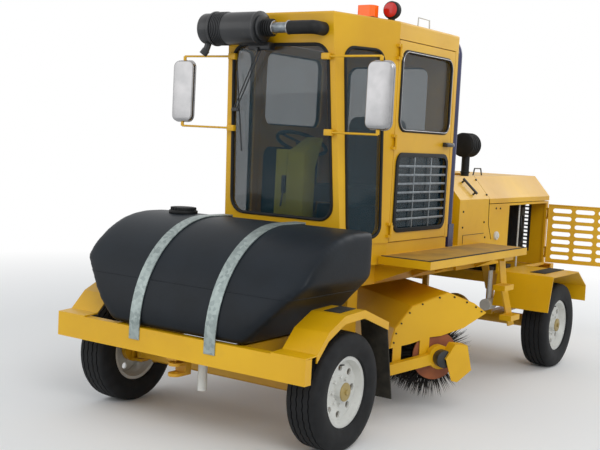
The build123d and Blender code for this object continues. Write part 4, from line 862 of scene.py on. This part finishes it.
bpy.ops.mesh.primitive_torus_add(
    major_radius=console["wheelRadius"] * mm, minor_radius=console["wheelTube"] * mm, major_segments=48,
    minor_segments=12, rotation=(0, lean, 0), location=[c * mm for c in console["wheelAt"]])
rimPiece = bpy.context.object
column = tube([(footX + 90, footY, 1135), (footX, footY, footZ), console["wheelAt"]], console["columnRadius"])
pieces = [rimPiece, column]
for spoke in range(3):
    turn = math.radians(90 + 120 * spoke)
    reach = Vector((math.cos(turn) * math.cos(lean), math.sin(turn), -math.cos(turn) * math.sin(lean)))
    end = Vector(console["wheelAt"]) + reach * console["wheelRadius"]
    pieces.append(tube([console["wheelAt"], tuple(end)], 9))
pieces.append(drum(console["wheelAt"], 40, 26, "Z", 32, 5))
settle(joined(pieces), "steering_wheel", "chassis", gasketRubber)
panelX = console["panelX"]
switches = [block((panelX + 16, panelMid + 22, 1480), (14, 34, 120), 4),
            tube([(panelX + 20, panelMid + 22, 1440), (panelX + 34, panelMid + 16, 1330)], 6)]
settle(joined(switches), "console_switches", "chassis", blackEnamel)
print("console done")


# lamps: black shells and bases, a lens for the red lamp, bezels for the tail lamps
lampTrim = {"redAt": (820, 500, 2662), "shell": 58, "lens": 49, "deep": 60, "lensDeep": 20,
            "beaconAt": (925, 380, 2598), "beaconBase": (98, 138, 15), "tailAt": (-1903, 860, 590),
            "bezel": 57, "bezelDeep": 10}
redX, redY, redZ = lampTrim["redAt"]
pieces = [drum((redX - 4, redY, redZ), lampTrim["shell"], lampTrim["deep"] - 8, "X", 48, 9),
          drum((redX - 34, redY, redZ), lampTrim["shell"] * 0.6, 24, "X", 32, 6),
          block((redX, redY, redZ - 58), (36, 36, 30), 4)]
settle(joined(pieces), "red_lamp_shell", "chassis", gasketRubber)
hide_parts("red_lamp")
lens = drum((redX + 22, redY, redZ), lampTrim["lens"], lampTrim["lensDeep"], "X", 48, 7)
settle(lens, "red_lamp_lens", "chassis", redLens)
beaconBase = block(lampTrim["beaconAt"], lampTrim["beaconBase"], 4)
settle(beaconBase, "beacon_base", "chassis", gasketRubber)
tailX, tailY, tailZ = lampTrim["tailAt"]
bezels = [drum((tailX, hand * tailY, tailZ), lampTrim["bezel"], lampTrim["bezelDeep"], "X", 40, 3)
          for hand in (1, -1)]
settle(joined(bezels), "tail_lamp_bezels", "chassis", gasketRubber)
print("lamps done")


# doors: lever with its lock, bright trim in the upper gasket, a dark sheet behind the lower grille as painted
# shade
doorTrim = {"leverAt": (50, 1800), "leverBase": (104, 34, 32), "lever": (112, 20, 24), "lock": 15,
            "trim": 3.2, "trimInset": 3, "trimOut": 10, "sheet": 4, "sheetBehind": 28, "panelInset": 6}
for side, hand in (("left", 1), ("right", -1)):
    body = "door_" + side + "_body"
    faceY = hand * cab["halfWidth"]
    leverX, leverZ = doorTrim["leverAt"]
    lever = [block((leverX, faceY + hand * 16, leverZ), doorTrim["leverBase"], 7),
             block((leverX + 12, faceY + hand * 38, leverZ - 2), doorTrim["lever"], 6)]
    settle(joined(lever), "door_lever_" + side, body, blackEnamel)
    lock = drum((leverX - 40, faceY + hand * 36, leverZ), doorTrim["lock"], 18, "Y", 28, 3)
    settle(lock, "door_lock_" + side, body, mirrorShell)
    trimIn = doorTrim["trimInset"]
    trimY = faceY + hand * doorTrim["trimOut"]
    loop = doorWindowLoop("upper", -trimIn, cab["windowCorner"] - trimIn, trimY, 8)
    settle(tube(loop, doorTrim["trim"], closed=True), "door_trim_" + side, body, mirrorShell)
    middle, length, height = doorWindows["lower"]
    # the dark sheet behind the lower window is painted shade standing for the cab's dark inside
    sheetY = hand * (cab["halfWidth"] - doorTrim["sheetBehind"])
    sheetSize = (length - 2 * doorTrim["panelInset"], doorTrim["sheet"], height - 2 * doorTrim["panelInset"])
    dark = block((doorMidX, sheetY, middle), sheetSize, 1)
    settle(dark, "door_lower_sheet_" + side, body, gasketRubber)
print("door trim done")


# lower door grilles: pale bars across a dark rubber frame
grille = {"out": 11, "inset": 18, "outCorner": 75, "inCorner": 51, "from": 570.5, "deep": 11, "bars": 7,
          "barHeight": 15, "barDeep": 8, "barShort": 34, "uprightWidth": 12, "uprightShort": 32,
          "rowsShort": 40, "bead": 3, "beadOut": 6}
for side, hand in (("left", 1), ("right", -1)):
    body = "door_" + side + "_body"
    fromY = hand * grille["from"]
    outer = doorWindowLoop("lower", grille["out"], grille["outCorner"], fromY, 8)
    surround = prism(outer, (0, hand * grille["deep"], 0), 2)
    inner = doorWindowLoop("lower", -grille["inset"], grille["inCorner"], fromY - hand * 20, 8)
    opening = prism(inner, (0, hand * 60, 0))
    combine(surround, opening, "DIFFERENCE")
    settle(surround, "grille_surround_" + side, body, gasketRubber)
    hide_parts("door_grille_" + side)
    middle, length, height = doorWindows["lower"]
    midY = fromY + hand * grille["deep"] / 2
    bars = []
    for index in range(grille["bars"]):
        row = index - (grille["bars"] - 1) / 2
        z = middle + row * (height - grille["rowsShort"]) / (grille["bars"] + 1)
        barSize = (length - grille["barShort"], grille["barDeep"], grille["barHeight"])
        bars.append(block((doorMidX, midY, z), barSize, 2))
    for x in (doorMidX - length / 6, doorMidX + length / 6):
        uprightSize = (grille["uprightWidth"], grille["barDeep"] - 2, height - grille["uprightShort"])
        bars.append(block((x, midY, middle), uprightSize, 2))
    beadY = fromY + hand * (grille["deep"] - grille["bead"])
    bead = doorWindowLoop("lower", grille["beadOut"] - grille["inset"], grille["inCorner"] + 3, beadY, 8)
    bars.append(tube(bead, grille["bead"], closed=True))
    settle(joined(bars), "grille_bars_" + side, body, barMetal)
    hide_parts("door_grille_" + side)
print("grilles done")


# roof: a thin grab handle over the left door
grab = {"x": (355, 525), "y": 540, "foot": 2588, "top": 2650, "wire": 5}
loop = [(grab["x"][0], grab["y"], grab["foot"]), (grab["x"][0] + 6, grab["y"], grab["top"]),
        (grab["x"][1] - 6, grab["y"], grab["top"]), (grab["x"][1], grab["y"], grab["foot"])]
settle(tube(loop, grab["wire"]), "roof_grab_handle", "chassis", whiteEnamel)

# decks: a darker brown sheet on top, painted shade and dirt on the yellow, and dark edging strips
deck = {"front": 916, "rear": -690, "inner": 562, "outer": 947, "top": 1047, "strip": 22, "stripThick": 5,
        "stripIn": 14, "thick": 3}
for side, hand in (("left", 1), ("right", -1)):
    midX, midY = (deck["front"] + deck["rear"]) / 2, hand * (deck["inner"] + deck["outer"]) / 2
    length, width = deck["front"] - deck["rear"], deck["outer"] - deck["inner"]
    # a thin sheet over the deck top in the darker brown paint: painted shade and dirt
    sheet = block((midX, midY - hand * 8, deck["top"] + 1), (length - 60, width - 50, deck["thick"]), 1)
    settle(sheet, "deck_grip_" + side, "chassis", deckShadeAndDirt)
    stripY, stripX = hand * (deck["outer"] - deck["stripIn"]), deck["front"] - deck["stripIn"]
    sideSize = (length - 8, deck["strip"], deck["stripThick"])
    frontSize = (deck["strip"], width - 30, deck["stripThick"])
    strips = [block((midX, stripY, deck["top"] + 2), sideSize, 2),
              block((stripX, midY, deck["top"] + 2), frontSize, 2)]
    settle(joined(strips), "deck_edging_" + side, "chassis", gripRubber)
pads = {"frontX": (1885, 1712), "frontZ": (816, 823.4), "frontY": (775, 885), "rearAt": (-1460, 835, 795),
        "rear": (440, 130, 5), "thick": 4}
for side, hand in (("left", 1), ("right", -1)):
    (x0, x1), (z0, z1), (y0, y1) = pads["frontX"], pads["frontZ"], pads["frontY"]
    outline = [(x0, hand * y0, z0), (x1, hand * y0, z1), (x1, hand * y0, z1 + pads["thick"]),
               (x0, hand * y0, z0 + pads["thick"])]
    pieces = [prism(outline, (0, hand * (y1 - y0), 0), 1)]
    pieces.append(block((pads["rearAt"][0], hand * pads["rearAt"][1], pads["rearAt"][2]), pads["rear"], 1))
    settle(joined(pieces), "fender_pads_" + side, "chassis", gripRubber)
print("deck done")


# engine housing trim, measured on its left side and its left slope
housing = {
    "half": 550, "sideTop": 1391, "ridge": 1562, "ridgeHalf": 400,
    "handle": [(-530, 1528), (-585, 1414)], "handleFeet": [(-536, 1516), (-579, 1426)], "handleOut": 30,
    "lidHandle": [(-1080, 277, 1560), (-1105, 277, 1618), (-1225, 277, 1618), (-1250, 277, 1560)],
    "seams": [[(-375, 1050), (-375, 1119), (-755, 1119)], [(-826, 1386), (-836, 1190), (-905, 1062)]],
    "seamRadius": 2.2, "slopeBolts": [(-815, 1532), (-818, 1419)], "boltRadius": 8,
    "sideBolts": [(-970, 1311), (-1054, 1308), (-749, 1207), (-781, 1085), (-360, 1180), (-360, 1300)],
    "breather": (-990, 1089)}
slopeUp = Vector((0, housing["ridgeHalf"] - housing["half"], housing["ridge"] - housing["sideTop"]))
slopeUp.normalize()
slopeOut = Vector((0, slopeUp.z, -slopeUp.y))


def onSlope(x, z, off, hand=1):
    share = (z - housing["sideTop"]) / (housing["ridge"] - housing["sideTop"])
    y = housing["half"] + share * (housing["ridgeHalf"] - housing["half"])
    return (x, hand * (y + slopeOut.y * off), z + slopeOut.z * off)


handleOut = housing["handleOut"]
handle = [tube([onSlope(x, z, handleOut) for x, z in housing["handle"]], 10)]
for x, z in housing["handleFeet"]:
    handle.append(tube([onSlope(x, z, -2), onSlope(x, z, handleOut)], 8))
settle(joined(handle), "housing_handle", "chassis", blackEnamel)
settle(tube(housing["lidHandle"], 6), "lid_loop_handle", "engine_lid_body", blackEnamel)
seams = [tube([(x, housing["half"] + 1, z) for x, z in seam], housing["seamRadius"])
         for seam in housing["seams"]]
settle(joined(seams), "housing_seams", "chassis", gasketRubber)
bolts = [tube([onSlope(x, z, -2), onSlope(x, z, 9)], housing["boltRadius"]) for x, z in housing["slopeBolts"]]
for x, z in housing["sideBolts"]:
    bolts.append(drum((x, housing["half"] + 2, z), housing["boltRadius"], 8, "Y", 6, 1))
settle(joined(bolts), "housing_bolts", "chassis", gasketRubber)
capX, capZ = housing["breather"]
cap = joined([drum((capX, housing["half"] + 8, capZ), 34, 22, "Y", 40, 4),
              drum((capX, housing["half"] + 22, capZ), 20, 12, "Y", 32, 3)])
settle(cap, "breather_cap", "chassis", whiteEnamel)
# in the engine bay: a panel and a box by middle and size, a prop rod and a hose by their points
bay = {"panel": ((-1275, 480, 1150), (30, 70, 330)), "box": ((-1690, 470, 1262), (70, 60, 74)),
       "rod": [(-1556, 512, 1330), (-1572, 505, 790)], "rodRadius": 7, "hoseRadius": 11,
       "hose": [(-1680, 470, 1230), (-1620, 505, 1200), (-1600, 514, 1120), (-1680, 508, 1060),
                (-1640, 500, 960), (-1600, 400, 900)]}
settle(block(*bay["panel"], 4), "bay_panel", "chassis", blackEnamel)
settle(block(*bay["box"], 8), "bay_box", "chassis", gripRubber)
# the radiator's core and its two tanks stand before the louvres
radiator = {"x": -2050, "core": (36, 720, 380), "middle": 1110, "tank": (52, 740, 40), "fins": 18}
pieces = [block((radiator["x"], 0, radiator["middle"]), radiator["core"], 2)]
for end in (1, -1):
    tankZ = radiator["middle"] + end * (radiator["core"][2] + radiator["tank"][2]) / 2
    pieces.append(block((radiator["x"], 0, tankZ), radiator["tank"], 6))
for index in range(radiator["fins"]):
    y = (index - (radiator["fins"] - 1) / 2) * radiator["core"][1] / radiator["fins"]
    finSize = (radiator["core"][0] + 8, 4, radiator["core"][2])
    pieces.append(block((radiator["x"], y, radiator["middle"]), finSize, 1))
settle(joined(pieces), "radiator_core", "chassis", blackEnamel)
settle(tube(bay["rod"], bay["rodRadius"]), "bay_prop_rod", "chassis", whiteEnamel)
hose = tube(bay["hose"], bay["hoseRadius"], smooth=True)
settle(hose, "bay_hose", "chassis", gasketRubber)
print("housing trim done")


# engine doors: slotted leaves with a folded edge, their slots wider than the CAD doors'
leaf = {"pinX": -2090, "pinY": 566, "pinOut": 16, "sheet": 20, "gap": 6, "span": 834, "height": 522,
        "middle": 1061, "open": 105, "columns": 4, "rows": 7, "pitchX": 196, "pitchZ": 69, "slotLength": 164,
        "slotHeight": 38, "plate": 6, "edge": 10, "hinges": (890, 1236), "barrel": 9, "knuckle": 60}


def slotLoop(u, v):
    # a stadium about a point of the leaf
    half = (leaf["slotLength"] - leaf["slotHeight"]) / 2
    points = []
    for end, start in ((1, -90), (-1, 90)):
        for step in range(9):
            turn = math.radians(start + 180 * step / 8)
            points.append((u + end * half + leaf["slotHeight"] / 2 * math.cos(turn),
                           v + leaf["slotHeight"] / 2 * math.sin(turn)))
    return points


for side, hand in (("left", 1), ("right", -1)):
    midU = leaf["span"] / 2 + leaf["gap"]
    plate = block((midU, 0, 0), (leaf["span"], leaf["plate"], leaf["height"]))
    cutters = []
    for column in range(leaf["columns"]):
        for row in range(leaf["rows"]):
            u = midU + (column - (leaf["columns"] - 1) / 2) * leaf["pitchX"]
            v = (row - (leaf["rows"] - 1) / 2) * leaf["pitchZ"]
            cutters.append(prism([(a, -20, b) for a, b in slotLoop(u, v)], (0, 40, 0)))
    combine(plate, joined(cutters), "DIFFERENCE")
    pieces = [plate]
    for v in (leaf["height"] / 2 - leaf["edge"] / 2, -leaf["height"] / 2 + leaf["edge"] / 2):
        pieces.append(block((midU, 0, v), (leaf["span"], leaf["sheet"] - 2, leaf["edge"]), 2))
    for u in (leaf["gap"] + leaf["edge"] / 2, leaf["gap"] + leaf["span"] - leaf["edge"] / 2):
        uprightSize = (leaf["edge"], leaf["sheet"] - 2, leaf["height"] - 2 * leaf["edge"])
        pieces.append(block((u, 0, 0), uprightSize, 2))
    piece = joined(pieces)
    turn = math.radians(leaf["open"])
    run = Vector((math.cos(turn), hand * math.sin(turn), 0))
    inward = Vector((math.sin(turn), -hand * math.cos(turn), 0))
    pin = Vector((leaf["pinX"], hand * leaf["pinY"], leaf["middle"]))
    root = pin + inward * (leaf["pinOut"] + leaf["sheet"] / 2)
    axes = Matrix((run, inward, Vector((0, 0, 1)))).transposed()
    piece.matrix_world = Matrix.Translation(root * mm) @ axes.to_4x4() @ piece.matrix_world
    pickOnly(piece)
    bpy.ops.object.transform_apply(location=True, rotation=True, scale=True)
    hinges = []
    for z in leaf["hinges"]:
        pinAt = Vector((leaf["pinX"], hand * leaf["pinY"], z))
        hinges.append(drum(pinAt, leaf["barrel"], leaf["knuckle"], "Z", 24, 1))
        centre = pinAt + run * 19 + inward * (leaf["pinOut"] / 2)
        hinges.append(block(centre, (26, leaf["pinOut"] + 4, leaf["knuckle"]), 1, (0, 0, hand * turn)))
    faceOutward(piece)
    settle(joined([piece] + hinges), "slotted_door_" + side, "engine_door_" + side + "_body", cabYellow)
    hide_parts("engine_door_" + side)
print("engine doors done")


# broom: bolts along the hood's end plates and a dark drive motor at the left
hoodTrim = {"bends": [(341, 452), (313, 581), (195, 728), (-66, 818), (-270, 742), (-365, 679)], "face": 1093,
            "inset": 0.955, "centre": (-10, 600), "perSegment": 2, "bolt": 6, "boltReach": 7, "motor": 58,
            "motorFrom": 1155, "motorTo": 1222}
bolts = []
for (a0, z0), (a1, z1) in zip(hoodTrim["bends"], hoodTrim["bends"][1:]):
    for step in range(hoodTrim["perSegment"]):
        share = (step + 0.5) / hoodTrim["perSegment"]
        a = hoodTrim["centre"][0] + (a0 + share * (a1 - a0) - hoodTrim["centre"][0]) * hoodTrim["inset"]
        z = hoodTrim["centre"][1] + (z0 + share * (z1 - z0) - hoodTrim["centre"][1]) * hoodTrim["inset"]
        for hand in (1, -1):
            start = atBroom(a, hand * hoodTrim["face"], z) / mm
            end = atBroom(a, hand * (hoodTrim["face"] + hoodTrim["boltReach"]), z) / mm
            bolts.append(tube([tuple(start), tuple(end)], hoodTrim["bolt"], sides=2))
settle(joined(bolts), "hood_bolts", "broom_lift_body", gripRubber)
motorLength = hoodTrim["motorTo"] - hoodTrim["motorFrom"]
motorMid = (hoodTrim["motorFrom"] + hoodTrim["motorTo"]) / 2
motor = onReel(hoodTrim["motor"], motorLength, motorMid, 40, 6)
settle(motor, "drive_motor_cover", "broom_lift_body", blackEnamel)
print("broom trim done")


# camera at the photo's angle, from its fitted pose
camera = {"place": (6798, 3913, 1790), "yaw": 214.15, "pitch": -4.79, "roll": -2.97, "lens": 61.74}
yaw, pitch, roll = (math.radians(camera[k]) for k in ("yaw", "pitch", "roll"))
forward = Vector((math.cos(yaw) * math.cos(pitch), math.sin(yaw) * math.cos(pitch), math.sin(pitch)))
right = forward.cross(Vector((0, 0, 1))).normalized()
down = forward.cross(right).normalized()
rightTurned = right * math.cos(roll) + down * math.sin(roll)
downTurned = down * math.cos(roll) - right * math.sin(roll)
bpy.ops.object.camera_add()
cameraObject = bpy.context.object
cameraObject.matrix_world = Matrix((
    (rightTurned.x, -downTurned.x, -forward.x, camera["place"][0] * mm),
    (rightTurned.y, -downTurned.y, -forward.y, camera["place"][1] * mm),
    (rightTurned.z, -downTurned.z, -forward.z, camera["place"][2] * mm),
    (0, 0, 0, 1)))
cameraObject.data.lens = camera["lens"]
cameraObject.data.sensor_width = 36
scene.camera = cameraObject

# floor, backdrop world and lamps
deselectAll()
bpy.ops.mesh.primitive_plane_add(size=60, location=(0, 0, 0))
floor = bpy.context.object
floor.name = "floor"
floorMaterial, floorTree, floorShader, floorCoords = newMaterial("pale floor")
setInputs(floorShader, {"Base Color": linearColour("#F2F2F0"), "Roughness": 0.9})
# far from the object the camera sees the floor as white as the sky
floorDistance = addNode(floorTree, "ShaderNodeVectorMath", {0: floorCoords}, operation="LENGTH")
floorFade = addNode(floorTree, "ShaderNodeMapRange", {"Value": floorDistance.outputs["Value"]})
setInputs(floorFade, {"From Min": 3.5, "From Max": 8.0})
floorRays = floorTree.nodes.new("ShaderNodeLightPath")
floorLinks = {0: floorFade.outputs["Result"], 1: floorRays.outputs["Is Camera Ray"]}
floorShown = addNode(floorTree, "ShaderNodeMath", floorLinks, operation="MULTIPLY")
floorWhite = addNode(floorTree, "ShaderNodeEmission", Color=(1, 1, 1, 1), Strength=1.0)
floorMix = addNode(floorTree, "ShaderNodeMixShader", {0: floorShown.outputs[0], 1: floorShader.outputs[0],
                                                      2: floorWhite.outputs[0]})
floorOutput = next(node for node in floorTree.nodes if node.type == "OUTPUT_MATERIAL")
floorTree.links.new(floorMix.outputs[0], floorOutput.inputs["Surface"])
floor.data.materials.append(floorMaterial)

world = bpy.data.worlds.new("world") if scene.world is None else scene.world
scene.world = world
world.use_nodes = True
worldTree = world.node_tree
worldTree.nodes.clear()
rays = worldTree.nodes.new("ShaderNodeLightPath")
softSky = addNode(worldTree, "ShaderNodeBackground", Color=linearColour("#E6EAF0"), Strength=0.72)
whiteSky = addNode(worldTree, "ShaderNodeBackground", Color=(1, 1, 1, 1), Strength=1.0)
rayLinks = {0: rays.outputs["Is Camera Ray"], 1: rays.outputs["Is Glossy Ray"]}
through = addNode(worldTree, "ShaderNodeMath", rayLinks, operation="MAXIMUM")
seen = addNode(worldTree, "ShaderNodeMath", {0: through.outputs[0], 1: rays.outputs["Is Transmission Ray"]},
               operation="MAXIMUM")
skyLinks = {0: seen.outputs[0], 1: softSky.outputs[0], 2: whiteSky.outputs[0]}
shownSky = addNode(worldTree, "ShaderNodeMixShader", skyLinks)
addNode(worldTree, "ShaderNodeOutputWorld", {"Surface": shownSky.outputs[0]})

lamps = [("key", (7, 7, 7), 380, 5.0), ("fill", (8, -5, 4), 110, 6.0), ("rear", (-7, 3, 6), 180, 5.0)]
for name, place, watts, size in lamps:
    bpy.ops.object.light_add(type="AREA", location=place)
    lamp = bpy.context.object
    lamp.name = name + " lamp"
    lamp.data.energy = watts
    lamp.data.size = size
    lamp.rotation_euler = (Vector((0, 0, 1.2)) - Vector(place)).to_track_quat("-Z", "Y").to_euler()
print("camera and light ready")

deselectAll()
